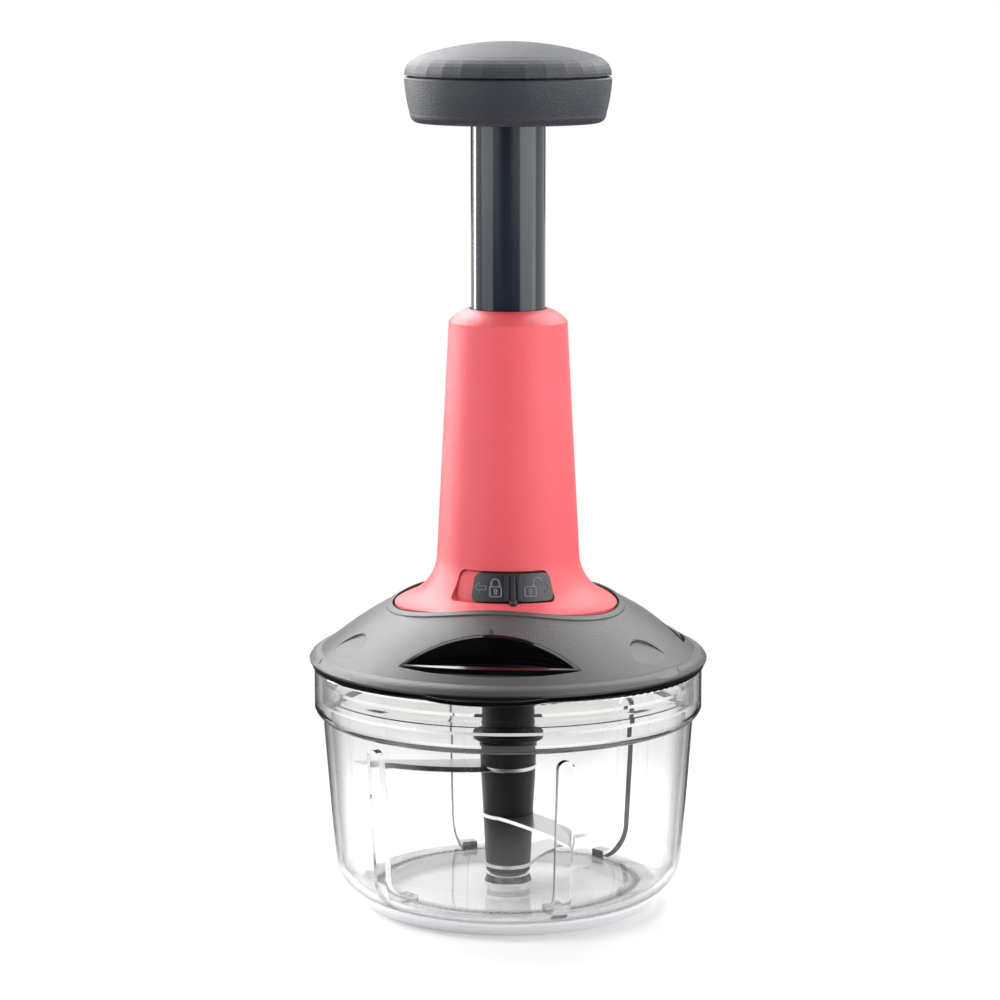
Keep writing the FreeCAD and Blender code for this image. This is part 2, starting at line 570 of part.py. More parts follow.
def make_blade(index):
    """Curved knife with a ring that is clamped between two collars."""
    low = BLADE_LOWS[index]
    half = BLADE_WIDTH / 2
    tip_r = bowl_inner_radius(low) - RIB_DEPTH - BLADE_WALL_GAP
    reach = math.sqrt(tip_r ** 2 - half ** 2)
    lead_root = V(1.0, half + 1.0, low)
    tip = V(reach, -half, low)
    back_root = V(2.0, -half - 1.0, low)
    lead_edge = Part.Arc(lead_root, V(reach * 0.60, half - 0.6, low), tip).toShape()
    back_edge = Part.Arc(tip, V(reach * 0.52, -half * 0.72, low), back_root).toShape()
    knife = Part.Face(Part.Wire([lead_edge, back_edge, Part.makeLine(back_root, lead_root)]))
    knife = knife.extrude(V(0, 0, BLADE_THICKNESS))
    top_edges = [edge for edge in knife.Edges
                 if abs(edge.BoundBox.ZMin - low - BLADE_THICKNESS) < 1e-6 and edge.BoundBox.YMax > half]
    top_edges = [edge for edge in top_edges if edge.BoundBox.XLength > reach / 2]
    knife = knife.makeChamfer(BLADE_EDGE, BLADE_BEVEL, top_edges)
    ring_r = collar_radius(low) + BLADE_RING_PROUD
    disc = cylinder(ring_r, low, low + BLADE_THICKNESS)
    blade = knife.fuse(disc).cut(cylinder(CORE_R, low - 1, low + BLADE_THICKNESS + 1)).removeSplitter()
    return at_azimuth(blade, BLADE_AZIMUTHS[index] - 90)


def make_collar(index):
    """Tapered collar that stands on a blade and carries the next blade or the drive flange."""
    low = BLADE_LOWS[index] + BLADE_THICKNESS
    high = low + COLLAR_HEIGHTS[index]
    low_r = collar_radius(low)
    high_r = collar_radius(high)
    return turned((CORE_R, low), (low_r - COLLAR_EDGE, low), (low_r, low + COLLAR_EDGE),
                  (high_r, high - COLLAR_EDGE), (high_r - COLLAR_EDGE, high), (CORE_R, high))


def make_foot_cap():
    """Bearing cap under the lowest blade, running on the bowl's boss and round the pin."""
    low = BLADE_UNIT_Z
    high = BLADE_LOWS[0]
    radius = collar_radius(low)
    body = turned((0, low), (radius - FOOT_CAP_EDGE, low), (radius, low + FOOT_CAP_EDGE),
                  (radius, high), (0, high))
    body = body.cut(cylinder(CORE_R, CORE_BOTTOM, high + 1))
    return body.cut(cylinder(PIN_R + RUNNING_FIT, low - 1, high + 1))


# ---- drive hub and spindle
def make_drive_hub():
    socket = HEX_ACROSS + 2 * SLIDING_FIT
    socket_top = DRIVE_FLANGE_Z + DRIVE_FLANGE_HEIGHT + HEX_HEIGHT + HUB_SOCKET_SPARE
    clip_top = CLIP_Z + CLIP_HEIGHT
    end_r = HUB_JOURNAL_R - JOURNAL_END_INSET
    body = turned((0, HUB_BOTTOM), (HUB_R - COLLAR_EDGE, HUB_BOTTOM), (HUB_R, HUB_BOTTOM + COLLAR_EDGE),
                  (HUB_R, HUB_SHOULDER), (HUB_JOURNAL_R, HUB_SHOULDER), (HUB_JOURNAL_R, CLIP_Z),
                  (CLIP_GROOVE_R, CLIP_Z), (CLIP_GROOVE_R, clip_top), (end_r, clip_top), (end_r, HUB_TOP),
                  (0, HUB_TOP))
    body = body.cut(hexagon(socket, HUB_BOTTOM - 1, socket_top))
    return body.cut(cylinder(SHANK_R, HUB_TOP - SHANK_LENGTH, HUB_TOP + 1))


def make_hub_clip():
    """Open spring clip in the journal's groove that keeps the hub in the lid."""
    body = ring(CLIP_GROOVE_R, CLIP_R, CLIP_Z, CLIP_Z + CLIP_HEIGHT)
    mouth = Part.makeBox(CLIP_GROOVE_R, CLIP_R + 1, CLIP_HEIGHT + 2, V(-CLIP_GROOVE_R / 2, 0, CLIP_Z - 1))
    return body.cut(mouth)


def twisted_bar(width, thickness, z_from, z_to):
    """Flat bar twisted about Z by one turn per TWIST_LEAD. Its phase depends on height alone, so a
    bar that turns while it slides through a slot of the same twist never leaves the slot."""
    sections = []
    count = max(2, int(math.ceil((z_to - z_from) / TWIST_LEAD * 24)) + 1)
    for index in range(count):
        height = z_from + (z_to - z_from) * index / (count - 1)
        signs = ((1, 1), (-1, 1), (-1, -1), (1, -1))
        corners = [V(x * width / 2, y * thickness / 2, height) for x, y in signs]
        section = Part.makePolygon(corners + corners[:1])
        section.rotate(V(0, 0, 0), UP, 360.0 * height / TWIST_LEAD)
        sections.append(section)
    return Part.makeLoft(sections, True, True)


def make_spindle():
    strip = twisted_bar(STRIP_WIDTH, STRIP_THICKNESS, STRIP_BOTTOM, STRIP_TOP)
    shank = cylinder(SHANK_R, HUB_TOP - SHANK_LENGTH, HUB_TOP)
    tenon = cylinder(TENON_R, STRIP_TOP, STRIP_TOP + TENON_HEIGHT)
    return strip.fuse([shank, tenon])


def make_spring_seat():
    """Cap on the spindle's tenon, with a low collar that centres the return spring."""
    collar_top = STRIP_TOP + TENON_HEIGHT
    return turned((TENON_R, STRIP_TOP), (SPRING_SEAT_R, STRIP_TOP), (SPRING_SEAT_R, SEAT_TOP),
                  (SPRING_COLLAR_R, SEAT_TOP), (SPRING_COLLAR_R, collar_top), (TENON_R, collar_top))


def make_thrust_washer():
    return ring(SPRING_COLLAR_R + SEAM_GAP, SPRING_SEAT_R, SEAT_TOP, SPRING_BOTTOM)


# ---- lid
def notch_prism(grow, z_from, z_to, outer_bow):
    """Upright prism over a finger notch at the front: two arcs that meet at the tips."""
    wall_r = bow(NOTCH_INNER_BOW, NOTCH_TIP_HALF)
    edge_r = bow(outer_bow, NOTCH_TIP_HALF)
    prism = cylinder(wall_r + grow, z_from, z_to, y=-(NOTCH_INNER_R + wall_r))
    return prism.common(cylinder(edge_r + grow, z_from, z_to, y=-(NOTCH_TIP_DEPTH + outer_bow - edge_r)))


def above_floor(inner_r, inner_z, outer_r, outer_z, width):
    """Everything above a sloping floor that runs out to the front, in a slab of this width."""
    slope = (outer_z - inner_z) / (outer_r - inner_r)
    far = LID_RIM_R + 5
    near = inner_r - 10
    top = SHOULDER_Z + 10
    points = [V(-width / 2, -near, inner_z + slope * (near - inner_r)),
              V(-width / 2, -far, inner_z + slope * (far - inner_r)), V(-width / 2, -far, top),
              V(-width / 2, -near, top)]
    return Part.Face(Part.makePolygon(points + points[:1])).extrude(V(width, 0, 0))


def above_notch_floor(drop):
    return above_floor(NOTCH_INNER_R, lid_height(NOTCH_INNER_R) - NOTCH_DEPTH - drop,
                       NOTCH_LIP_R, lid_height(NOTCH_LIP_R) - NOTCH_LIP_DEPTH - drop, 4 * NOTCH_TIP_HALF)


def notch_pocket():
    """Hollow of a finger notch between its upright wall and its glossy lip."""
    return notch_prism(0.0, LID_BOTTOM, SHOULDER_Z, NOTCH_LIP_BOW).common(above_notch_floor(0.0))


def lip_cut():
    """Room over a finger notch's lip: its crest is flatter than the lid, with a groove in front."""
    inner_r = NOTCH_TIP_DEPTH - 2
    flush_z = lid_height(NOTCH_FLUSH_R)
    over_crest = turned((inner_r, flush_z + NOTCH_CREST_SLOPE * (NOTCH_FLUSH_R - inner_r)),
                        (LID_RIM_R, flush_z - NOTCH_CREST_SLOPE * (LID_RIM_R - NOTCH_FLUSH_R)),
                        (LID_RIM_R, SHOULDER_Z + 5), (inner_r, SHOULDER_Z + 5))
    prism = notch_prism(NOTCH_RIM + 1, LID_BOTTOM, SHOULDER_Z, NOTCH_OUTER_BOW)
    crest = notch_prism(NOTCH_CREST_EDGE, LID_BOTTOM - 1, SHOULDER_Z + 1, NOTCH_CREST_BOW)
    groove = prism.cut(crest).cut(under_lid(NOTCH_GROOVE_DEPTH, LID_BOTTOM - 1))
    front = Part.makeBox(4 * NOTCH_TIP_HALF, LID_RIM_R, SHOULDER_Z + 5,
                         V(-2 * NOTCH_TIP_HALF, -NOTCH_TIP_DEPTH - LID_RIM_R, 0))
    return [prism.common(over_crest).common(front), groove.common(front)]


def dimple_tool():
    """Shallow thumb scoop: deepest at its arched inner edge and running out towards the rim."""
    arch = cylinder(DIMPLE_R, LID_BOTTOM, SHOULDER_Z + 5, y=-(DIMPLE_INNER_R + DIMPLE_R))
    floor = above_floor(DIMPLE_INNER_R, lid_height(DIMPLE_INNER_R) - DIMPLE_DEPTH,
                        DIMPLE_OUTER_R, lid_height(DIMPLE_OUTER_R), 4 * DIMPLE_R)
    return arch.common(floor)


def tab_tip_depth():
    """Distance of the lift tab's ends from the lid's axis, measured along the tab."""
    return math.sqrt(LID_FLANGE_R ** 2 - TAB_HALF_WIDTH ** 2)


def lift_tab():
    """Crescent that stands out of the lid base's flange at the front."""
    flange_top = LID_BOTTOM + LID_FLANGE_HEIGHT
    reach = LID_FLANGE_R + TAB_REACH
    tab_r = bow(reach - tab_tip_depth(), TAB_HALF_WIDTH)
    tab = cylinder(tab_r, LID_BOTTOM, flange_top, y=-(reach - tab_r))
    return tab.cut(cylinder(LID_CREASE_R, LID_BOTTOM - 1, flange_top + 1))


def seal_tongue(z_from):
    return ring(SEAL_TONGUE_R, SEAL_TONGUE_R + SEAL_TONGUE_WALL, z_from, LID_BOTTOM + SEAL_TONGUE_HEIGHT)


def lid_base_holes():
    """Bearing seat, groove of the seal and screw holes of the lid base."""
    low = ROOF_Z - BASE_WALL - 1
    tower_hole = cylinder(SCREW_R, low, ROOF_Z + 1, y=-TOWER_SCREW_CIRCLE)
    sleeve_hole = cylinder(SCREW_R, low, ROOF_Z + 1, y=-SLEEVE_SCREW_CIRCLE)
    holes = round_about(tower_hole, NOTCH_COUNT, BETWEEN_NOTCHES) + round_about(sleeve_hole, NOTCH_COUNT)
    holes.append(cylinder(BEARING_R, ROOF_Z - BEARING_LENGTH - 1, ROOF_Z + 1))
    holes.append(seal_tongue(LID_BOTTOM - 1))
    return holes


def make_lid_cover():
    bottom = LID_BOTTOM + LID_FLANGE_HEIGHT + SEAM_GAP
    rim_z = LID_BOTTOM + LID_RIM_RISE
    rim_mid = (LID_RIM_R - 1.35, rim_z + 1.75)
    body = turned((LID_SHOULDER_R, SHOULDER_Z - COVER_WALL), (LID_SHOULDER_R, SHOULDER_Z),
                  ((LID_MIDDLE_R, LID_MIDDLE_Z), (LID_CREASE_R, CREASE_Z)),
                  (rim_mid, (LID_RIM_R, rim_z)),
                  (LID_RIM_R - 0.15, bottom),
                  (LID_CREASE_R + 0.9, bottom),
                  (LID_CREASE_R, CREASE_Z - COVER_WALL),
                  ((LID_MIDDLE_R, LID_MIDDLE_Z - COVER_WALL), (LID_SHOULDER_R, SHOULDER_Z - COVER_WALL)))
    collar = skirt_prism(SKIRT_GROOVE_WIDTH + COLLAR_WIDTH, LID_BOTTOM, SHOULDER_Z + 5)
    collar = collar.common(under_lid(-COLLAR_HEIGHT, LID_BOTTOM))
    collar = collar.cut(under_lid(COVER_WALL / 2, LID_BOTTOM - 5))
    body = body.fuse(collar.cut(cylinder(LID_SHOULDER_R, LID_BOTTOM, SHOULDER_Z + 5)))
    openings = notch_prism(NOTCH_RIM + SEAM_GAP, LID_BOTTOM, SHOULDER_Z + 5, NOTCH_OUTER_BOW)
    body = body.cut(round_about(openings, NOTCH_COUNT))
    body = body.cut(round_about(dimple_tool(), NOTCH_COUNT, first=BETWEEN_NOTCHES))
    groove = skirt_prism(SKIRT_GROOVE_WIDTH, LID_BOTTOM, SHOULDER_Z + 5)
    groove = groove.cut(under_lid(SKIRT_GROOVE_DEPTH, LID_BOTTOM - 5))
    return body.cut(groove).removeSplitter()


def make_lid_base():
    outer = under_lid(BASE_DROP, LID_BOTTOM).common(cylinder(LID_CREASE_R, LID_BOTTOM, ROOF_Z))
    outer = outer.fuse(cylinder(LID_FLANGE_R, LID_BOTTOM, LID_BOTTOM + LID_FLANGE_HEIGHT))
    inner = under_lid(BASE_DROP + BASE_WALL, LID_BOTTOM - 1)
    inner = inner.common(cylinder(SEAL_INNER_R, LID_BOTTOM - 1, ROOF_Z - BASE_WALL))
    shell = outer.cut(inner)
    liner = notch_prism(NOTCH_RIM, LID_BOTTOM, SHOULDER_Z, NOTCH_OUTER_BOW)
    liner = liner.common(under_lid(0.05, LID_BOTTOM)).cut(lip_cut())
    plate = liner.common(above_notch_floor(NOTCH_FLOOR))
    root = liner.cut(under_lid(BASE_DROP + BASE_WALL, LID_BOTTOM - 5))
    pockets = round_about(plate.fuse(root), NOTCH_COUNT)
    boss = cylinder(BEARING_R + BEARING_BOSS_WALL, ROOF_Z - BEARING_LENGTH, ROOF_Z)
    shell = shell.fuse(pockets + [lift_tab(), boss])
    shell = shell.cut(round_about(notch_pocket(), NOTCH_COUNT))
    return shell.cut(lid_base_holes()).removeSplitter()


def make_lid_gasket():
    """Clear silicone seal: hangs from the lid base into the bowl, with a lip towards the bowl's wall."""
    low = SEAL_Z + SEAL_LIP_RISE
    high = low + SEAL_LIP_HEIGHT
    third = SEAL_LIP_HEIGHT / 3
    body = turned((SEAL_INNER_R, SEAL_Z), (SEAL_R, SEAL_Z), (SEAL_R, low), (SEAL_LIP_R, low + third),
                  (SEAL_LIP_R, high - third), (SEAL_R, high), (SEAL_R, LID_BOTTOM),
                  (SEAL_INNER_R, LID_BOTTOM))
    return body.fuse(seal_tongue(LID_BOTTOM)).removeSplitter()


def make_hub_bearing():
    bore_r = HUB_JOURNAL_R + RUNNING_FIT
    low = ROOF_Z - BEARING_LENGTH
    return turned((bore_r, low), (BEARING_R, low), (BEARING_R, ROOF_Z), (BEARING_FLANGE_R, ROOF_Z),
                  (BEARING_FLANGE_R, BEARING_TOP), (bore_r, BEARING_TOP))


# ---- tower
def tower_profile(wall):
    """Outside of the tower moved inwards by wall: taper, then a round flare out to the skirt."""
    centre_r = TOWER_WAIST_R + TOWER_FLARE_R
    waist_z = ROOF_Z + TOWER_WAIST_RISE
    flare_r = TOWER_FLARE_R + wall
    diagonal = flare_r / math.sqrt(2)
    lip = wall * 0.4
    mouth = (TOWER_MOUTH_R - lip, TOWER_TOP - wall)
    shoulder = (TOWER_SHOULDER_R - wall, TOWER_TOP - TOWER_SHOULDER_DROP - lip)
    round_out = ((mouth[0] + shoulder[0]) / 2 + TOWER_SHOULDER_BULGE, (mouth[1] + shoulder[1]) / 2)
    return ((0, mouth[1]), mouth, (round_out, shoulder),
            (TOWER_WAIST_R - wall, waist_z),
            ((centre_r - diagonal, waist_z - diagonal), (centre_r, waist_z - flare_r)),
            (centre_r + 5, waist_z - flare_r), (centre_r + 5, ROOF_Z - 10), (0, ROOF_Z - 10))


def slider_radius(height):
    """Radius of the slider's outer face at a height."""
    return SLIDER_TOP_R + (WINDOW_TOP - height) * SLIDER_SLOPE


def window_section(face_offset, low, high, outer_r):
    """Section of the leaning recess or slider: inner edge parallel to the slider's face."""
    return ((slider_radius(low) - face_offset, low), (outer_r, low), (outer_r, high),
            (slider_radius(high) - face_offset, high))


def round_corners(solid, radius):
    """Round the four radial edges at the ends of a sector."""
    corners = []
    for edge in solid.Edges:
        if len(edge.Vertexes) != 2 or edge.Curve.TypeId != "Part::GeomLine":
            continue
        a, b = edge.Vertexes[0].Point, edge.Vertexes[1].Point
        if abs(a.z - b.z) < 1e-6 and abs(math.hypot(a.x, a.y) - math.hypot(b.x, b.y)) > 0.5:
            corners.append(edge)
    return solid.makeFillet(radius, corners)


def lock_slot(inner_r, outer_r):
    """Room for the lock's tongue over its whole swing."""
    low = TONGUE_Z - FACE_GAP
    high = TONGUE_TOP + FACE_GAP
    side = TONGUE_HALF_ANGLE + TONGUE_SIDE_ANGLE
    return sector(SLIDER_AZIMUTH - LOCK_SWING - side, SLIDER_AZIMUTH + side,
                  (inner_r, low), (outer_r, low), (outer_r, high), (inner_r, high))


def window_pad():
    """Thickening inside the tower's wall that makes the floor of the lock's recess."""
    low = WINDOW_Z - PAD_MARGIN
    high = WINDOW_TOP + PAD_MARGIN
    half = WINDOW_HALF_ANGLE + PAD_SIDE_ANGLE
    return sector(WINDOW_AZIMUTH - half, WINDOW_AZIMUTH + half,
                  (PAD_R, low), (LID_SHOULDER_R, low), (LID_SHOULDER_R, high), (PAD_R, high))


def window_recess():
    """Room of the lock slider in the tower's wall."""
    face_offset = SLIDER_THICKNESS + FACE_GAP
    recess = sector(WINDOW_AZIMUTH - WINDOW_HALF_ANGLE, WINDOW_AZIMUTH + WINDOW_HALF_ANGLE,
                    *window_section(face_offset, WINDOW_Z, WINDOW_TOP, TOWER_WAIST_R + TOWER_FLARE_R))
    return round_corners(recess, SLIDER_CORNER_R + FACE_GAP)


def make_tower():
    outside = turned(*tower_profile(0.0)).common(skirt_prism(0.0, ROOF_Z, TOWER_TOP + 1))
    hollow = turned(*tower_profile(TOWER_WALL)).common(cylinder(LID_SHOULDER_R, ROOF_Z - 10, TOWER_TOP))
    boss = cylinder(TOWER_BOSS_R, ROOF_Z, ROOF_Z + TOWER_BOSS_HEIGHT, y=-TOWER_SCREW_CIRCLE)
    inner_pieces = round_about(boss, NOTCH_COUNT, BETWEEN_NOTCHES) + [window_pad()]
    body = outside.cut(hollow).fuse([piece.common(outside) for piece in inner_pieces])
    seat = under_lid(SKIRT_GROOVE_DEPTH, ROOF_Z - 20)
    body = body.cut(seat.cut(cylinder(LID_SHOULDER_R, ROOF_Z - 20, SHOULDER_Z)))
    body = body.cut(window_recess()).cut(lock_slot(PAD_R - 2, LID_SHOULDER_R))
    pilot = cylinder(SCREW_R, ROOF_Z - 1, ROOF_Z + SCREW_BITE, y=-TOWER_SCREW_CIRCLE)
    body = body.cut(round_about(pilot, NOTCH_COUNT, BETWEEN_NOTCHES))
    return body.cut(cylinder(TOWER_HOLE_R, ROOF_Z, TOWER_TOP + 1)).removeSplitter()


def key_pair(grow, z_from, z_to):
    """Two keys on the sides of the nut's flange, or with grow their grooves in the sleeve."""
    width = KEY_WIDTH + 2 * grow
    reach = NUT_FLANGE_R + KEY_HEIGHT + grow
    bar = Part.makeBox(width, 2 * reach, z_to - z_from, V(-width / 2, -reach, z_from))
    bar = bar.cut(cylinder(NUT_FLANGE_R - 2, z_from - 1, z_to + 1))
    return at_azimuth(bar.common(cylinder(reach, z_from, z_to)), 90)


def make_guide_sleeve():
    """Tube inside the tower: guides the plunger's nut and keeps it from turning."""
    body = ring(SLEEVE_BORE_R, SLEEVE_R, ROOF_Z, SLEEVE_TOP)
    body = body.fuse(ring(SLEEVE_BORE_R, SLEEVE_FLANGE_R, ROOF_Z, ROOF_Z + SLEEVE_FLANGE_HEIGHT))
    body = body.cut(key_pair(KEY_FIT, ROOF_Z - 1, SLEEVE_TOP - BUSH_SEAT))
    body = body.cut(lock_slot(SLEEVE_BORE_R - 1, SLEEVE_R + 1))
    hole = cylinder(SCREW_R, ROOF_Z - 1, ROOF_Z + SLEEVE_FLANGE_HEIGHT + 1, y=-SLEEVE_SCREW_CIRCLE)
    return body.cut(round_about(hole, NOTCH_COUNT)).removeSplitter()


def make_top_bush():
    low = TUBE_BOTTOM + FACE_GAP
    return turned((TUBE_R + SLIDING_FIT, low), (SLEEVE_BORE_R, low), (SLEEVE_BORE_R, SLEEVE_TOP),
                  (BUSH_FLANGE_R, SLEEVE_TOP), (BUSH_FLANGE_R, SLEEVE_TOP + BUSH_FLANGE_HEIGHT),
                  (TUBE_R + SLIDING_FIT, SLEEVE_TOP + BUSH_FLANGE_HEIGHT))


# ---- plunger
def nut_pin_pair():
    """Two cross pins through the tube's wall into the nut."""
    height = TUBE_BOTTOM + NUT_BODY_HEIGHT / 2
    inner_r = STRIP_WIDTH / 2 + NUT_PIN_ROOT
    outer_r = TUBE_R - NUT_PIN_INSET
    return [Part.makeCylinder(NUT_PIN_R, outer_r - inner_r, V(side * inner_r, 0, height), V(side, 0, 0))
            for side in (-1, 1)]


def make_plunger_tube():
    body = cylinder(TUBE_R, TUBE_BOTTOM, KNOB_Z)
    body = body.cut(cylinder(TUBE_BORE_R, TUBE_BOTTOM - 1, SPRING_TOP))
    body = body.fuse(cylinder(KNOB_SCREW_R + SCREW_BOSS_WALL, SPRING_TOP - SCREW_BITE, SPRING_TOP))
    body = body.cut(cylinder(KNOB_SCREW_R, SPRING_TOP - SCREW_BITE - 1, KNOB_Z + 1))
    return body.cut(nut_pin_pair()).removeSplitter()


def make_nut_pins():
    return Part.makeCompound(nut_pin_pair())


def make_drive_nut():
    """Nut with a twisted slot. A notch in its flange lets the open lock's tongue pass."""
    body = cylinder(NUT_FLANGE_R, NUT_Z, TUBE_BOTTOM).fuse(cylinder(TUBE_BORE_R, TUBE_BOTTOM, NUT_TOP))
    body = body.fuse(key_pair(0.0, NUT_Z, TUBE_BOTTOM))
    half = TONGUE_HALF_ANGLE + NUT_NOTCH_SIDE_ANGLE
    notch_r = TONGUE_INNER_R - FACE_GAP
    notch = sector(SLIDER_AZIMUTH - half, SLIDER_AZIMUTH + half, (notch_r, NUT_Z - 1),
                   (NUT_FLANGE_R + 3, NUT_Z - 1), (NUT_FLANGE_R + 3, TUBE_BOTTOM), (notch_r, TUBE_BOTTOM))
    body = body.cut(notch)
    slot = twisted_bar(STRIP_WIDTH + 2 * NUT_SLOT_FIT, STRIP_THICKNESS + 2 * NUT_SLOT_FIT,
                       NUT_Z - 1, NUT_TOP + 1)
    return body.cut(slot).cut(nut_pin_pair()).removeSplitter()


def make_knob_base():
    floor_z = KNOB_Z + KNOB_WALL
    floor_r = KNOB_FOOT_R - KNOB_WALL
    corner = KNOB_EDGE_R * (1 - 1 / math.sqrt(2))
    foot_top = KNOB_Z + KNOB_EDGE_R
    rim_z = SEAM_Z - KNOB_RIM_EDGE
    belly = ((KNOB_FOOT_R + KNOB_R) / 2 + KNOB_BELLY, (foot_top + rim_z) / 2)
    body = turned((0, KNOB_Z), (KNOB_FOOT_R - KNOB_EDGE_R, KNOB_Z),
                  ((KNOB_FOOT_R - corner, KNOB_Z + corner), (KNOB_FOOT_R, foot_top)),
                  (belly, (KNOB_R, rim_z)), (KNOB_R - KNOB_RIM_EDGE, SEAM_Z), (KNOB_R - KNOB_WALL, SEAM_Z),
                  (floor_r, floor_z + KNOB_INNER_CORNER), (floor_r - KNOB_INNER_CORNER, floor_z),
                  (0, floor_z))
    return body.cut(cylinder(KNOB_SCREW_R, KNOB_Z - 1, floor_z + 1))


def cap_section(share_r, share_z, roundness):
    """Outline of the cap at one height: as many sides as facets, flat at 0 and round at 1."""
    radius = CAP_BASE_R * share_r
    height = CAP_Z + CAP_HEIGHT * share_z
    half = math.pi / CAP_FACETS
    middle_r = radius * (1 - (1 - roundness) * (1 - math.cos(half)))
    first = math.radians(CAP_FACET_AZIMUTH - 90)
    sides = []
    for i in range(CAP_FACETS):
        angle = first + 2 * half * i
        places = ((radius, angle), (middle_r, angle + half), (radius, angle + 2 * half))
        start, middle, end = [V(r * math.cos(a), r * math.sin(a), height) for r, a in places]
        side = Part.Arc(start, middle, end) if roundness else Part.LineSegment(start, end)
        sides.append(side.toShape())
    return Part.Wire(sides)


def cap_crown():
    """Part of a ball that goes on from the faceted side to the top."""
    share_r, share_z, _ = CAP_SIDE[-1]
    edge_r = CAP_BASE_R * share_r
    rise = CAP_HEIGHT * (1 - share_z)
    ball_r = (edge_r ** 2 + rise ** 2) / (2 * rise)
    top = CAP_Z + CAP_HEIGHT
    middle_r = edge_r / 2
    middle_z = top - ball_r + math.sqrt(ball_r ** 2 - middle_r ** 2)
    return turned((0, top - rise), (edge_r, top - rise), ((middle_r, middle_z), (0, top)))


def cap_spigot_radius():
    """The cap's spigot clears the cup's tapered wall at the spigot's lower end."""
    taper = KNOB_DRAFT / (KNOB_CUP_HEIGHT - KNOB_WALL - KNOB_INNER_CORNER)
    return KNOB_R - KNOB_WALL - SEAM_GAP - taper * CAP_SPIGOT_HEIGHT


def make_knob_cap():
    """Domed cap with flat facets round its side that fade out towards the crown."""
    side = Part.makeLoft([cap_section(*shares) for shares in CAP_SIDE], True, True)
    spigot_r = cap_spigot_radius()
    inner_r = spigot_r - CAP_SPIGOT_WALL
    ceiling = CAP_Z + CAP_HEIGHT - CAP_WALL
    shoulder = CAP_Z + (ceiling - CAP_Z) * 2 / 3
    hollow = turned((0, CAP_Z - CAP_LIP), (inner_r, CAP_Z - CAP_LIP), (inner_r, CAP_Z + CAP_LIP),
                    ((inner_r * 0.72, shoulder), (0, ceiling)))
    spigot = ring(inner_r, spigot_r, CAP_Z - CAP_SPIGOT_HEIGHT, CAP_Z + CAP_LIP)
    return side.fuse(cap_crown()).cut(hollow).fuse(spigot).removeSplitter()


def make_return_spring():
    height = SPRING_TOP - SPRING_BOTTOM - 2 * SPRING_WIRE_R
    helix = Part.makeHelix(height / SPRING_TURNS, height, SPRING_R)
    section = Part.Wire([Part.makeCircle(SPRING_WIRE_R, V(SPRING_R, 0, 0), V(0, 1, 0))])
    spring = Part.Wire(helix.Edges).makePipeShell([section], True, True)
    spring.translate(V(0, 0, SPRING_BOTTOM + SPRING_WIRE_R))
    return spring


# ---- lock
def make_lock_slider():
    low = WINDOW_Z + SLIDER_PLAY
    high = WINDOW_TOP - SLIDER_PLAY
    face = sector(SLIDER_AZIMUTH - SLIDER_HALF_ANGLE, SLIDER_AZIMUTH + SLIDER_HALF_ANGLE,
                  (slider_radius(low) - SLIDER_THICKNESS, low), (slider_radius(low), low),
                  (slider_radius(high), high), (slider_radius(high) - SLIDER_THICKNESS, high))
    face = round_corners(face, SLIDER_CORNER_R)
    ridge_low = low + SLIDER_RIDGE_INSET
    ridge_high = high - SLIDER_RIDGE_INSET
    ridges = []
    for step in (-1, 0, 1):
        azimuth = SLIDER_AZIMUTH + step * SLIDER_RIDGE_PITCH
        ridges.append(sector(azimuth - SLIDER_RIDGE_HALF_ANGLE, azimuth + SLIDER_RIDGE_HALF_ANGLE,
                             (slider_radius(ridge_low) - 1, ridge_low),
                             (slider_radius(ridge_low) + SLIDER_RIDGE, ridge_low),
                             (slider_radius(ridge_high) + SLIDER_RIDGE, ridge_high),
                             (slider_radius(ridge_high) - 1, ridge_high)))
    outer_r = slider_radius(TONGUE_TOP) - SLIDER_THICKNESS / 2
    tongue = sector(SLIDER_AZIMUTH - TONGUE_HALF_ANGLE, SLIDER_AZIMUTH + TONGUE_HALF_ANGLE,
                    (TONGUE_INNER_R, TONGUE_Z), (outer_r, TONGUE_Z), (outer_r, TONGUE_TOP),
                    (TONGUE_INNER_R, TONGUE_TOP))
    return face.fuse(ridges + [tongue]).removeSplitter()


def make_lock_retainer():
    """Plate pushed over the tongue from inside, which holds the slider in its window."""
    outer_r = PAD_R - FACE_GAP
    inner_r = outer_r - RETAINER_THICKNESS
    low = TONGUE_Z - RETAINER_OVERLAP
    high = TONGUE_TOP + RETAINER_OVERLAP
    half = TONGUE_HALF_ANGLE + RETAINER_SIDE_ANGLE
    plate = sector(SLIDER_AZIMUTH - half, SLIDER_AZIMUTH + half,
                   (inner_r, low), (outer_r, low), (outer_r, high), (inner_r, high))
    hole = sector(SLIDER_AZIMUTH - TONGUE_HALF_ANGLE, SLIDER_AZIMUTH + TONGUE_HALF_ANGLE,
                  (inner_r - 1, TONGUE_Z), (outer_r + 1, TONGUE_Z), (outer_r + 1, TONGUE_TOP),
                  (inner_r - 1, TONGUE_TOP))
    return plate.cut(hole)


# ---- screws
def make_sleeve_screws():
    one = screw(SCREW_R, SCREW_HEAD_R, SCREW_HEAD_HEIGHT, SLEEVE_FLANGE_HEIGHT + BASE_WALL)
    one.translate(V(0, -SLEEVE_SCREW_CIRCLE, ROOF_Z + SLEEVE_FLANGE_HEIGHT))
    return Part.makeCompound(round_about(one, NOTCH_COUNT))


def make_tower_screws():
    one = screw(SCREW_R, SCREW_HEAD_R, SCREW_HEAD_HEIGHT, BASE_WALL + SCREW_BITE)
    one.rotate(V(0, 0, 0), V(1, 0, 0), 180)
    one.translate(V(0, -TOWER_SCREW_CIRCLE, ROOF_Z - BASE_WALL))
    return Part.makeCompound(round_about(one, NOTCH_COUNT, BETWEEN_NOTCHES))


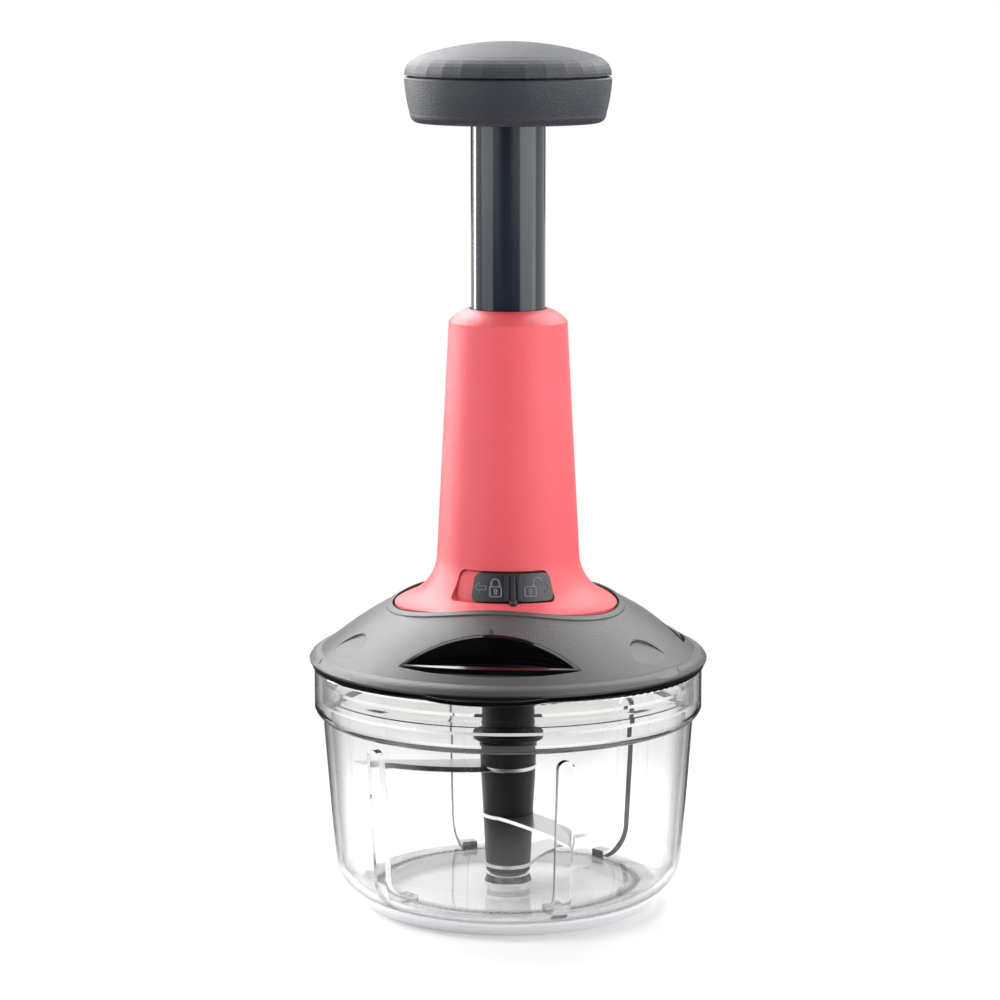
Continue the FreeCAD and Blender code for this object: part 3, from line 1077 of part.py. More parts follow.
def make_knob_screw():
    one = screw(KNOB_SCREW_R, KNOB_SCREW_HEAD_R, SCREW_HEAD_HEIGHT, KNOB_WALL + TUBE_END_WALL + SCREW_BITE)
    one.translate(V(0, 0, KNOB_Z + KNOB_WALL))
    return one


PIECES = {
    "bowl": make_bowl,
    "base_ring": make_base_ring,
    "blade_pin": make_blade_pin,
    "blade_shaft": make_blade_shaft,
    "lower_blade": lambda: make_blade(0),
    "middle_blade": lambda: make_blade(1),
    "upper_blade": lambda: make_blade(2),
    "lower_collar": lambda: make_collar(0),
    "middle_collar": lambda: make_collar(1),
    "upper_collar": lambda: make_collar(2),
    "foot_cap": make_foot_cap,
    "drive_hub": make_drive_hub,
    "hub_clip": make_hub_clip,
    "spindle": make_spindle,
    "spring_seat": make_spring_seat,
    "thrust_washer": make_thrust_washer,
    "lid_cover": make_lid_cover,
    "lid_base": make_lid_base,
    "lid_gasket": make_lid_gasket,
    "hub_bearing": make_hub_bearing,
    "tower": make_tower,
    "guide_sleeve": make_guide_sleeve,
    "top_bush": make_top_bush,
    "sleeve_screws": make_sleeve_screws,
    "tower_screws": make_tower_screws,
    "plunger_tube": make_plunger_tube,
    "drive_nut": make_drive_nut,
    "nut_pins": make_nut_pins,
    "knob_base": make_knob_base,
    "knob_cap": make_knob_cap,
    "knob_screw": make_knob_screw,
    "return_spring": make_return_spring,
    "lock_slider": make_lock_slider,
    "lock_retainer": make_lock_retainer,
}

os.makedirs("parts", exist_ok=True)
for name, make in PIECES.items():
    shape = make()
    shape.exportStep("parts/" + name + ".step")
    box = shape.optimalBoundingBox(False)
    print("%-15s solids %d valid %s volume %9.1f mm3  z %.2f to %.2f  r %.1f" % (
        name, len(shape.Solids), shape.isValid(), shape.Volume, box.ZMin, box.ZMax, max(box.XMax, -box.XMin)))
print("stroke %.1f mm turns the spindle %.1f degrees" % (STROKE, 360 * STROKE / TWIST_LEAD))
print("lock swing %.2f degrees" % LOCK_SWING)
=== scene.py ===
# %% [markdown]
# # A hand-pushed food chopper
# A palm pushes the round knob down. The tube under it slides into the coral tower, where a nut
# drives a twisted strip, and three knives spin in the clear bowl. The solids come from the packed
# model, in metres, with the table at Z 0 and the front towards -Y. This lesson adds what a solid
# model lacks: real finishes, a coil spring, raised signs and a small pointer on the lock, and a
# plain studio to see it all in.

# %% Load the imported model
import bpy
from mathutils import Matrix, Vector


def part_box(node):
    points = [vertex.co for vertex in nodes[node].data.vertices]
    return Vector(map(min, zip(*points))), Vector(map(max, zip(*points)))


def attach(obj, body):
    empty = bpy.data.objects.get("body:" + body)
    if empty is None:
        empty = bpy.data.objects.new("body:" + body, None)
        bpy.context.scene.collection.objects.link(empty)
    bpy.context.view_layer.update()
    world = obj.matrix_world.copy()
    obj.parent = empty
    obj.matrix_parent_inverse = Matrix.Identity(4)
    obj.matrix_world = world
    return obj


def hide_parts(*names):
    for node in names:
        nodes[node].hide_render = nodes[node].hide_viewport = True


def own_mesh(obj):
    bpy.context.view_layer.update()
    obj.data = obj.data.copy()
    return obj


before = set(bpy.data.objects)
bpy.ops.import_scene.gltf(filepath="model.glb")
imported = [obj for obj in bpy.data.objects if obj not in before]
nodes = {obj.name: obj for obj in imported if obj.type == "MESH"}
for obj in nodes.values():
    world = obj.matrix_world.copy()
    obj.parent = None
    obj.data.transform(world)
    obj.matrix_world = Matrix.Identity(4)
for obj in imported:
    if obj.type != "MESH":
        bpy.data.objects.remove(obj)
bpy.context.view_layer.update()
print("nodes loaded:", len(nodes))

# %% Modules and units
import math

import bpy
from mathutils import Vector

MM = 0.001

# %% [markdown]
# ## Finishes
# Every finish is built from shader nodes. Image textures could carry the colours instead, but
# nodes need no file and stay sharp from any distance. One helper adds any node. Its inputs take
# plain values, the sockets that feed them, or nodes, which stand for their first output, and
# everything else is a setting of the node. Patterns read Object coordinates, which are metres
# here, so a grain of half a millimetre needs a noise scale of 1 / 0.0005.

# %% Helpers for finishes
# The Mix node keeps its colour sockets behind the ones for numbers and vectors.
MIX_SHARE, MIX_A, MIX_B, MIX_OUT = 0, 6, 7, 2


def linear(code):
    """An sRGB hex colour as the linear colour a shader takes."""
    parts = [int(code[place:place + 2], 16) / 255 for place in (1, 3, 5)]
    return tuple(part / 12.92 if part <= 0.04045 else ((part + 0.055) / 1.055) ** 2.4
                 for part in parts) + (1.0,)


def add(tree, kind, inputs=None, **settings):
    """Adds a node, sets it up and links it."""
    node = tree.nodes.new(kind)
    for name, value in settings.items():
        setattr(node, name, value)
    for key, value in (inputs or {}).items():
        if isinstance(value, bpy.types.Node):
            value = value.outputs[0]
        if isinstance(value, bpy.types.NodeSocket):
            tree.links.new(value, node.inputs[key])
        else:
            node.inputs[key].default_value = value
    return node


def new_finish(name):
    """An empty material, its node tree and the Object coordinates."""
    finish = bpy.data.materials.new(name)
    finish.use_nodes = True
    tree = finish.node_tree
    tree.nodes.clear()
    place = add(tree, "ShaderNodeTexCoord").outputs["Object"]
    return finish, tree, place


print("half grey #808080 as light:", round(linear("#808080")[0], 3))

# %% [markdown]
# ### Spark-eroded ABS
# Tower, lid cover, slider and knob are moulded ABS from a spark-eroded mould. The mould leaves a
# fine pebble grain that breaks the light into soft speckle. The real grain is finer; it is drawn
# 0.5 to 0.65 mm wide here, so that it still shows from a metre away. A noise in the roughness
# would be enough for a distant view, but only bumps are lit on one side and shaded on the other,
# so a noise and a finer cell pattern add up to a height. The tone drifts over a few centimetres,
# as it does where the plastic flowed in. Narrow seams between two mouldings get painted shade: an
# Ambient Occlusion node with a short reach darkens the colour there, where shade falls.

# %% Grained ABS
ABS_IOR = 1.54
FLOW_MM = 30                 # width of a patch of the drifting tone
PEBBLE_SHARE = 0.6           # width of a pebble beside the coarser grain
GRAIN_DEPTH_MM = 0.12
GRAIN_CRISPNESS = 0.65       # how strong the finer layers of the noise are
TONE_ENDS = (-0.4, 1.6)      # wider than 0 to 1, so that the drift uses more of the blend
GLOSS_DRIFT = 0.08
# Painted shade in narrow seams: its colour, the reach of the occlusion, and where it fades.
PAINTED_SEAM_SHADE = "#120A0B"
SEAM_REACH_MM = 1.6
SEAM_ENDS = (0.25, 0.7)      # how open a point is where the painted shade is full, and where it ends


def grained_abs(name, dark, light, roughness, grain_mm, relief, round_mm=0.3):
    """Moulded ABS with a pebble grain, edges rounded for the light, and painted shade in seams."""
    finish, tree, place = new_finish(name)
    flow = add(tree, "ShaderNodeTexNoise",
               {"Vector": place, "Scale": 1 / (FLOW_MM * MM), "Detail": 2.0})
    grain = add(tree, "ShaderNodeTexNoise",
                {"Vector": place, "Scale": 1 / (grain_mm * MM), "Detail": 3.0,
                 "Roughness": GRAIN_CRISPNESS})
    pebble = add(tree, "ShaderNodeTexVoronoi",
                 {"Vector": place, "Scale": 1 / (PEBBLE_SHARE * grain_mm * MM)})
    height = add(tree, "ShaderNodeMath", {0: grain, 1: pebble}, operation="ADD")
    edge = add(tree, "ShaderNodeBevel", {"Radius": round_mm * MM}, samples=4)
    bump = add(tree, "ShaderNodeBump", {"Strength": relief, "Distance": GRAIN_DEPTH_MM * MM,
                                        "Height": height, "Normal": edge})
    drift = add(tree, "ShaderNodeMath", {0: flow, 1: grain}, operation="MULTIPLY")
    blend = add(tree, "ShaderNodeMapRange",
                {"Value": drift, "To Min": TONE_ENDS[0], "To Max": TONE_ENDS[1]})
    unshaded = add(tree, "ShaderNodeMix",
                {MIX_SHARE: blend, MIX_A: linear(dark), MIX_B: linear(light)}, data_type="RGBA")
    # Painted shade: the occlusion mask darkens the colour in narrow seams, where shade falls.
    air = add(tree, "ShaderNodeAmbientOcclusion", {"Distance": SEAM_REACH_MM * MM}, samples=6)
    seam_shade = add(tree, "ShaderNodeMapRange", {"Value": air.outputs["AO"], "From Min": SEAM_ENDS[0],
                                            "From Max": SEAM_ENDS[1]})
    colour = add(tree, "ShaderNodeMix", {MIX_SHARE: seam_shade, MIX_A: linear(PAINTED_SEAM_SHADE),
                                         MIX_B: unshaded.outputs[MIX_OUT]}, data_type="RGBA")
    rough = add(tree, "ShaderNodeMapRange", {"Value": grain, "To Min": roughness - GLOSS_DRIFT,
                                             "To Max": roughness + GLOSS_DRIFT})
    shader = add(tree, "ShaderNodeBsdfPrincipled",
                 {"Base Color": colour.outputs[MIX_OUT], "Roughness": rough, "IOR": ABS_IOR,
                  "Normal": bump})
    add(tree, "ShaderNodeOutputMaterial", {"Surface": shader})
    return finish


# %% The grained pieces
coral_abs = grained_abs("coral spark-eroded ABS", "#E9565E", "#F16069", 0.33, 0.5, 0.65)
lid_abs = grained_abs("dark grey spark-eroded ABS", "#3E3E40", "#505052", 0.33, 0.55, 0.7)
knob_abs = grained_abs("slate grey spark-eroded ABS", "#30343C", "#3E434E", 0.48, 0.65, 0.8)
slider_abs = grained_abs("slider spark-eroded ABS", "#282A30", "#33353C", 0.33, 0.5, 0.2)

# The raised signs are a paler grey than the slider, a painted highlight of the light their lines
# catch, and a little smoother.
sign_highlight_abs = grained_abs("painted-highlight ABS of the signs", "#6A6C73", "#7E8088", 0.25, 0.5, 0.1, round_mm=0.1)
print("grained finishes:", [finish.name for finish in (coral_abs, lid_abs, knob_abs, slider_abs,
                                                       sign_highlight_abs)])

# %% [markdown]
# ### Polished ABS
# The inner lid with its finger notches and the plunger tube come from polished moulds. A low
# roughness alone would look like black glass. Moulded plastic is never quite flat, so a faint
# ripple bends what it mirrors, and handling rubs it duller in places. On the tube these marks run
# upright, because it slides in its bush, so a Mapping node draws their noise out along Z.

# %% Polished ABS
RUB_MM = 1.5
RUB_GLOSS = (0.6, 1.5)       # factors on the roughness where it is fresh, and where it is rubbed
RIPPLE_MM = 12
RIPPLE_DEPTH_MM = 0.5
RIPPLE_STRENGTH = 0.03
POLISHED_ROUND_MM = 0.35     # radius of its edges, for the light


def polished_abs(name, dark, light, roughness, along=(1.0, 1.0, 1.0)):
    """Moulded ABS with a polished, slightly rippled surface; along scales the rub marks."""
    finish, tree, place = new_finish(name)
    drawn = add(tree, "ShaderNodeMapping", {"Vector": place, "Scale": along})
    rub = add(tree, "ShaderNodeTexNoise",
              {"Vector": drawn, "Scale": 1 / (RUB_MM * MM), "Detail": 4.0})
    ripple = add(tree, "ShaderNodeTexNoise",
                 {"Vector": place, "Scale": 1 / (RIPPLE_MM * MM), "Detail": 1.0})
    edge = add(tree, "ShaderNodeBevel", {"Radius": POLISHED_ROUND_MM * MM}, samples=4)
    bump = add(tree, "ShaderNodeBump",
               {"Strength": RIPPLE_STRENGTH, "Distance": RIPPLE_DEPTH_MM * MM, "Height": ripple,
                "Normal": edge})
    colour = add(tree, "ShaderNodeMix",
                 {MIX_SHARE: rub, MIX_A: linear(dark), MIX_B: linear(light)}, data_type="RGBA")
    rough = add(tree, "ShaderNodeMapRange", {"Value": rub, "To Min": roughness * RUB_GLOSS[0],
                                             "To Max": roughness * RUB_GLOSS[1]})
    shader = add(tree, "ShaderNodeBsdfPrincipled",
                 {"Base Color": colour.outputs[MIX_OUT], "Roughness": rough, "IOR": ABS_IOR,
                  "Normal": bump})
    add(tree, "ShaderNodeOutputMaterial", {"Surface": shader})
    return finish


notch_abs = polished_abs("black polished ABS", "#060607", "#0C0C0E", 0.07)
tube_abs = polished_abs("charcoal polished ABS", "#1B212C", "#252C39", 0.12, (1.0, 1.0, 0.03))
print("polished finishes:", [finish.name for finish in (notch_abs, tube_abs)])

# %% [markdown]
# ### Clear SAN
# The bowl is styrene acrylonitrile, moulded clear. It bends light more than water does (IOR 1.57)
# and swallows a little of it on the way, which a Volume Absorption shader gives. Where a wall
# turns away from the eye, light is sent round inside it and comes out dim, so outline, ribs and
# rim look grey. In a white studio the traced rays alone leave them too pale. Dark cards behind the
# bowl would mend one view and spoil the others, so that grey is painted shade: the base colour
# darkens by Layer Weight, which knows from any side how far a surface is turned away. Lamps reach
# what is inside through a plain transparent shader that only shadow rays meet. The seal under the
# lid is clear silicone.

# %% Clear SAN and silicone
WAVE_MM = 25                 # width of the waves that moulding leaves in a clear wall
WAVE_DEPTH_MM = 0.5
WAVE_STRENGTH = 0.02
HAZE_MM = 4
SWALLOWED = "#5E6062"        # what is left of white after a long way inside
TURNED_AWAY = (0.55, 0.90)   # Facing where the painted edge shade starts, and where it is full


def clear_plastic(name, tint, edge_shade, ior, haziness, per_metre):
    """Clear plastic with painted grey shade along its outline; haziness is its lowest and highest
    roughness.
    """
    finish, tree, place = new_finish(name)
    wave = add(tree, "ShaderNodeTexNoise",
               {"Vector": place, "Scale": 1 / (WAVE_MM * MM), "Detail": 2.0})
    haze = add(tree, "ShaderNodeTexNoise",
               {"Vector": place, "Scale": 1 / (HAZE_MM * MM), "Detail": 5.0})
    bump = add(tree, "ShaderNodeBump", {"Strength": WAVE_STRENGTH,
                                        "Distance": WAVE_DEPTH_MM * MM, "Height": wave})
    # Painted shade: the base colour darkens where the surface turns away from the eye.
    facing = add(tree, "ShaderNodeLayerWeight", {"Blend": 0.5}).outputs["Facing"]
    rim = add(tree, "ShaderNodeMapRange",
              {"Value": facing, "From Min": TURNED_AWAY[0], "From Max": TURNED_AWAY[1]},
              interpolation_type="SMOOTHSTEP")
    colour = add(tree, "ShaderNodeMix",
                 {MIX_SHARE: rim, MIX_A: linear(tint), MIX_B: linear(edge_shade)},
                 data_type="RGBA")
    rough = add(tree, "ShaderNodeMapRange",
                {"Value": haze, "To Min": haziness[0], "To Max": haziness[1]})
    glass = add(tree, "ShaderNodeBsdfPrincipled",
                {"Base Color": colour.outputs[MIX_OUT], "Transmission Weight": 1.0, "IOR": ior,
                 "Roughness": rough, "Normal": bump})
    lamp_way = add(tree, "ShaderNodeBsdfTransparent", {"Color": linear(tint)})
    ray = add(tree, "ShaderNodeLightPath")
    both = add(tree, "ShaderNodeMixShader",
               {0: ray.outputs["Is Shadow Ray"], 1: glass, 2: lamp_way})
    depth = add(tree, "ShaderNodeVolumeAbsorption",
                {"Color": linear(SWALLOWED), "Density": per_metre})
    add(tree, "ShaderNodeOutputMaterial", {"Surface": both, "Volume": depth})
    return finish


bowl_san = clear_plastic("clear moulded SAN", "#FEFEFE", "#4C4E50", 1.57, (0.0, 0.02), 14)
seal_silicone = clear_plastic("clear moulded silicone", "#FAFAF8", "#B0B2B2", 1.25,
                              (0.02, 0.06), 8)
print("clear finishes:", [finish.name for finish in (bowl_san, seal_silicone)])

# %% [markdown]
# ### Soft ring, nylon and acetal
# The ring under the bowl is white thermoplastic rubber, shaft, hub and collars are black
# glass-filled nylon, and bearings and guides are white acetal. All of them are satin with a faint
# flow pattern of about a millimetre, so one function makes all three, and only colour, roughness,
# IOR and shine differ. A plain roughness would be quicker, but an even surface looks like a
# drawing, so the pattern drives colour, roughness and bump.

# %% Satin plastics
SATIN_MM = 1.2
SATIN_DEPTH_MM = 0.1
SATIN_RELIEF = 0.12
SATIN_DRIFT = 0.06
SATIN_ROUND_MM = 0.25


def satin_plastic(name, dark, light, roughness, ior, shine=0.5):
    """Satin plastic or rubber with a faint flow pattern."""
    finish, tree, place = new_finish(name)
    grain = add(tree, "ShaderNodeTexNoise",
                {"Vector": place, "Scale": 1 / (SATIN_MM * MM), "Detail": 4.0})
    edge = add(tree, "ShaderNodeBevel", {"Radius": SATIN_ROUND_MM * MM}, samples=4)
    bump = add(tree, "ShaderNodeBump", {"Strength": SATIN_RELIEF, "Distance": SATIN_DEPTH_MM * MM,
                                        "Height": grain, "Normal": edge})
    colour = add(tree, "ShaderNodeMix",
                 {MIX_SHARE: grain, MIX_A: linear(dark), MIX_B: linear(light)}, data_type="RGBA")
    rough = add(tree, "ShaderNodeMapRange", {"Value": grain, "To Min": roughness - SATIN_DRIFT,
                                             "To Max": roughness + SATIN_DRIFT})
    shader = add(tree, "ShaderNodeBsdfPrincipled",
                 {"Base Color": colour.outputs[MIX_OUT], "Roughness": rough, "IOR": ior,
                  "Specular IOR Level": shine, "Normal": bump})
    add(tree, "ShaderNodeOutputMaterial", {"Surface": shader})
    return finish


ring_rubber = satin_plastic("white moulded TPR", "#DFE0E3", "#ECEDF0", 0.45, 1.5)
black_nylon = satin_plastic("black glass-filled nylon", "#080708", "#0F0D0E", 0.36, 1.53, 0.25)
white_acetal = satin_plastic("white moulded acetal", "#DDDDD6", "#E8E8E2", 0.4, 1.48)
print("satin finishes:", [finish.name for finish in (ring_rubber, black_nylon, white_acetal)])

# %% [markdown]
# ### Steel
# Knives and spindle are ground stainless steel, pins and screws are turned from bar, and the
# spring is drawn wire. Grinding leaves fine parallel scratches. An anisotropic shader gives their
# long highlights but shows no scratch, so one noise is drawn out along the work and drives colour,
# roughness and bump. Real scratches are finer; they are drawn about 0.35 mm apart so that they
# show. Along scales the noise on each axis: 0.04 on X makes streaks 25 times longer than wide.
# The spring wire has no streaks.

# %% Ground stainless steel
SCRATCH_MM = 0.35
SCRATCH_DEPTH_MM = 0.03
SCRATCH_RELIEF = 0.15
SCRATCH_GLOSS = (0.6, 1.4)   # factors on the roughness of the smoothest and roughest streak
STEEL_ROUND_MM = 0.15


def ground_steel(name, dark, light, roughness, along):
    """Steel whose scratches follow the axis that along squeezes."""
    finish, tree, place = new_finish(name)
    drawn = add(tree, "ShaderNodeMapping", {"Vector": place, "Scale": along})
    scratch = add(tree, "ShaderNodeTexNoise",
                  {"Vector": drawn, "Scale": 1 / (SCRATCH_MM * MM), "Detail": 3.0})
    edge = add(tree, "ShaderNodeBevel", {"Radius": STEEL_ROUND_MM * MM}, samples=4)
    bump = add(tree, "ShaderNodeBump",
               {"Strength": SCRATCH_RELIEF, "Distance": SCRATCH_DEPTH_MM * MM, "Height": scratch,
                "Normal": edge})
    colour = add(tree, "ShaderNodeMix",
                 {MIX_SHARE: scratch, MIX_A: linear(dark), MIX_B: linear(light)},
                 data_type="RGBA")
    rough = add(tree, "ShaderNodeMapRange",
                {"Value": scratch, "To Min": SCRATCH_GLOSS[0] * roughness,
                 "To Max": SCRATCH_GLOSS[1] * roughness})
    shader = add(tree, "ShaderNodeBsdfPrincipled",
                 {"Base Color": colour.outputs[MIX_OUT], "Metallic": 1.0, "Roughness": rough,
                  "Normal": bump})
    add(tree, "ShaderNodeOutputMaterial", {"Surface": shader})
    return finish


blade_steel = ground_steel("ground stainless steel", "#E4E5E6", "#F4F5F6", 0.2, (0.04, 1.0, 1.0))
pin_steel = ground_steel("turned stainless steel", "#A5A7A9", "#C4C6C8", 0.28, (1.0, 1.0, 0.3))
spring_wire = ground_steel("drawn spring steel", "#8E9092", "#B0B2B4", 0.3, (1.0, 1.0, 1.0))
print("steel finishes:", [finish.name for finish in (blade_steel, pin_steel, spring_wire)])

# %% [markdown]
# ### Which solid wears which finish
# The solids have the right shapes already, so each one keeps its mesh and only gets a new
# material. A list by finish, each with the solids that wear it, is shorter than one line for each
# solid, and it shows at a glance what is made of what.

# %% Give every solid its finish
WEARERS = (
    (bowl_san, "bowl"),
    (seal_silicone, "lid_gasket"),
    (ring_rubber, "base_ring"),
    (coral_abs, "tower"),
    (lid_abs, "lid_cover"),
    (notch_abs, "lid_base"),
    (knob_abs, "knob_base", "knob_cap"),
    (tube_abs, "plunger_tube"),
    (slider_abs, "lock_slider"),
    (black_nylon, "blade_shaft", "lower_collar", "middle_collar", "upper_collar", "foot_cap",
     "drive_hub"),
    (white_acetal, "spring_seat", "hub_bearing", "guide_sleeve", "top_bush", "drive_nut",
     "lock_retainer"),
    (blade_steel, "lower_blade", "middle_blade", "upper_blade", "spindle"),
    (pin_steel, "blade_pin", "hub_clip", "thrust_washer", "sleeve_screws", "tower_screws",
     "nut_pins", "knob_screw"),
    (spring_wire, "return_spring"),
)
finish_of = {name: finish for finish, *names in WEARERS for name in names}
for name, node in nodes.items():
    node.data.materials.clear()
    node.data.materials.append(finish_of[name])
print("finishes:", len(WEARERS), "on", len(nodes), "nodes")

# %% [markdown]
# ## Helpers for new pieces
# An operator acts on whatever is selected, so every step starts by selecting nothing. A finished
# piece has its place in its mesh, as the solids do, and it rides on a body, so that it moves with
# that body's joint.

# %% Modelling helpers
SMOOTH_BELOW = math.radians(35)


def clear_selection():
    """Leaves edit mode and selects nothing."""
    if bpy.context.mode != "OBJECT":
        bpy.ops.object.mode_set(mode="OBJECT")
    bpy.ops.object.select_all(action="DESELECT")


def started(name, add_primitive, **settings):
    """Adds a primitive under a name and leaves it as the only selected object."""
    clear_selection()
    add_primitive(**settings)
    piece = bpy.context.object
    piece.name = name
    piece.data.name = name
    return piece


def settle(piece):
    """Puts a finished piece's place into its mesh."""
    clear_selection()
    piece.select_set(True)
    bpy.context.view_layer.objects.active = piece
    bpy.ops.object.transform_apply(location=True, rotation=True, scale=True)


def finish_piece(piece, body, slot, finish, *stands_for):
    """Settles a piece, dresses it and lets it ride on a body."""
    settle(piece)
    piece.data.materials.clear()
    piece.data.materials.append(finish)
    bpy.ops.object.shade_smooth_by_angle(angle=SMOOTH_BELOW)
    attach(piece, body)
    if stands_for:
        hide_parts(*stands_for)
    print(piece.name, "has", len(piece.data.polygons), "faces")


# %% [markdown]
# ## The return spring
# The spring stands between its seat on the spindle and the top of the tube, and the knob squeezes
# it by the whole stroke. It could be a helix curve with a round bevel. Here one ring of wire is
# spun by a Screw modifier, which leaves an even mesh of quads, and the two open ends are closed
# afterwards. It is squeezed 0.2 mm more than the stroke asks, which keeps it clear of the tube.

# %% Measures of the spring
SPRING_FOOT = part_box("return_spring")[0].z
SPRING_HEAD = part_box("return_spring")[1].z
SPRING_OUTER_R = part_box("return_spring")[1].x
WIRE_R = 0.65 * MM
WIRE_SIDES = 10
TURNS = 9
STEPS = 36 * TURNS

# %% The spring
spring = started("return_spring_coil", bpy.ops.mesh.primitive_circle_add, vertices=WIRE_SIDES,
                 radius=WIRE_R, location=(SPRING_OUTER_R - WIRE_R, 0, SPRING_FOOT + WIRE_R),
                 rotation=(math.pi / 2, 0, 0))
settle(spring)
coil = spring.modifiers.new("coil", "SCREW")
coil.axis = "Z"
coil.angle = math.tau * TURNS
coil.screw_offset = SPRING_HEAD - SPRING_FOOT - 2 * WIRE_R
coil.steps = STEPS
coil.render_steps = STEPS
bpy.ops.object.modifier_apply(modifier=coil.name)
bpy.ops.object.mode_set(mode="EDIT")
bpy.ops.mesh.select_all(action="DESELECT")
bpy.ops.mesh.select_non_manifold()
bpy.ops.mesh.edge_face_add()
bpy.ops.mesh.select_all(action="SELECT")
bpy.ops.mesh.normals_make_consistent(inside=False)
bpy.ops.object.mode_set(mode="OBJECT")
finish_piece(spring, "lid", "spring_steel", spring_wire, "return_spring")
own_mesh(spring)

# %% [markdown]
# ## Raised signs on the lock
# The slider's face says which way it goes: an arrow and a closed padlock on the left, an arrow and
# an open one on the right. The mould gives them as thin raised lines. They could be painted by a
# pattern, but then they would cast no shadow, so they are drawn as curves with a round bevel.
# First comes the flat drawing, in millimetres, with X to the right and Z up from its middle.

# %% Lines of the signs
def arc(centre_x, centre_z, radius, start, end, steps=10):
    """Points on an arc, angles in degrees from +X towards +Z."""
    turns = [math.radians(start + (end - start) * step / steps) for step in range(steps + 1)]
    return [(centre_x + radius * math.cos(turn), centre_z + radius * math.sin(turn))
            for turn in turns]


ARROW_HEAD = 1.3             # length of the head
ARROW_LENGTH = 3.4
HEAD_HALF = 1.6              # half the width of the head and of the shaft
SHAFT_HALF = 0.55


def arrow(tip, way):
    """Outline of an arrow whose head points along way, +1 or -1."""
    neck = tip - way * ARROW_HEAD
    tail = tip - way * ARROW_LENGTH
    upper = [(neck, HEAD_HALF), (neck, SHAFT_HALF), (tail, SHAFT_HALF)]
    return [(tip, 0)] + upper + [(x, -z) for x, z in reversed(upper)]


LOCK_HALF = 1.35             # from the middle to the centres of the rounded corners
LOCK_TOP = -0.1              # levels of those centres
LOCK_FOOT = -2.1
LOCK_CORNER_R = 0.5
HOLE_LEVEL = -0.75
HOLE_R = 0.42
HOLE_TURN = (-60, 240)       # degrees, where the round part starts and ends
HOLE_FOOT = (0.32, -1.9)     # half the width of the slot's foot, and its level


def padlock_body(centre_x):
    """Outline of a padlock's body, a square with round corners."""
    corners = ((LOCK_HALF, LOCK_TOP), (-LOCK_HALF, LOCK_TOP), (-LOCK_HALF, LOCK_FOOT),
               (LOCK_HALF, LOCK_FOOT))
    outline = []
    for quarter, (x, z) in enumerate(corners):
        outline += arc(centre_x + x, z, LOCK_CORNER_R, 90 * quarter, 90 * quarter + 90, 4)
    return outline


def keyhole(centre_x):
    """A round hole that runs out into a slot."""
    half, foot = HOLE_FOOT
    round_part = arc(centre_x, HOLE_LEVEL, HOLE_R, *HOLE_TURN, 8)
    return round_part + [(centre_x - half, foot), (centre_x + half, foot)]


# %% The hasps and the list of lines
ARROW_TIP = 12.0
CLOSED_X = -5.6
OPEN_X = 5.6
HASP_R = 1.3
HASP_FOOT = 0.4              # where a hasp meets its padlock
HASP_LEVEL = 1.5             # centre of the closed hasp's bend
OPEN_LEVEL = 1.7             # the open one is lifted
OPEN_SHIFT = 1.0             # and swung aside on this leg
OPEN_TURN = (180, 20)        # degrees, its bend ends short of the padlock

closed_hasp = ([(CLOSED_X + HASP_R, HASP_FOOT)] + arc(CLOSED_X, HASP_LEVEL, HASP_R, 0, 180)
               + [(CLOSED_X - HASP_R, HASP_FOOT)])
open_hasp = ([(OPEN_X + OPEN_SHIFT, HASP_FOOT)]
             + arc(OPEN_X + OPEN_SHIFT + HASP_R, OPEN_LEVEL, HASP_R, *OPEN_TURN))
# Each line with whether it is closed.
SIGNS = ((arrow(-ARROW_TIP, -1), True), (padlock_body(CLOSED_X), True), (keyhole(CLOSED_X), True),
         (closed_hasp, False), (arrow(ARROW_TIP, 1), True), (padlock_body(OPEN_X), True),
         (keyhole(OPEN_X), True), (open_hasp, False))
print("lines of the signs:", len(SIGNS), "with", sum(len(line) for line, _ in SIGNS), "points")

# %% [markdown]
# The drawing becomes one mesh, and every point of it is laid on the slider's face. The face is a
# cone that leans out towards its foot: the level gives a radius, the way from the middle gives an
# angle, and the thickness of a line stands off along the radius. A Shrinkwrap modifier could do
# this too, but it would press the round lines flat.

# %% Draw the signs and lay them on the face
FACE_LOW = 105.75            # levels of the face's foot and head, in millimetres
FACE_HIGH = 114.45
FACE_LOW_R = 28.75           # its radius at both
FACE_HIGH_R = 25.18
FACE_AZIMUTH = math.radians(10)
SIGN_LINE_R = 0.28
SIGN_DROP = 0.1              # the drawing's middle below the middle of the face
SIGN_LEVEL = (FACE_LOW + FACE_HIGH) / 2 - SIGN_DROP

drawing = bpy.data.curves.new("lock_signs", "CURVE")
drawing.dimensions = "3D"
drawing.bevel_depth = SIGN_LINE_R * MM
drawing.bevel_resolution = 2
for outline, closed in SIGNS:
    line = drawing.splines.new("POLY")
    line.points.add(len(outline) - 1)
    line.use_cyclic_u = closed
    for point, (x, z) in zip(line.points, outline):
        point.co = (x * MM, 0, z * MM, 1)
signs = bpy.data.objects.new("lock_signs", drawing)
bpy.context.scene.collection.objects.link(signs)
clear_selection()
signs.select_set(True)
bpy.context.view_layer.objects.active = signs
bpy.ops.object.convert(target="MESH")
signs = bpy.context.object
for vertex in signs.data.vertices:
    level = vertex.co.z / MM + SIGN_LEVEL
    share = (level - FACE_LOW) / (FACE_HIGH - FACE_LOW)
    face_r = FACE_LOW_R + (FACE_HIGH_R - FACE_LOW_R) * share
    turn = FACE_AZIMUTH + math.asin(vertex.co.x / MM / face_r)
    radius = face_r - vertex.co.y / MM
    vertex.co = Vector((radius * math.sin(turn), -radius * math.cos(turn), level)) * MM
finish_piece(signs, "lock", "dark_grey_shell", sign_highlight_abs)

# %% [markdown]
# ## The lock's pointer
# The middle ridge ends in a small pointer that reaches over the window's lower edge. It could be
# part of the ridge, but it slides over the tower with a gap, so it is a piece of its own. It
# starts as a cylinder with its axis towards the front, is cut flat on top, and its front face is
# drawn in, as the mould needs draft. Then it leans back until it lies along the tower's flare.

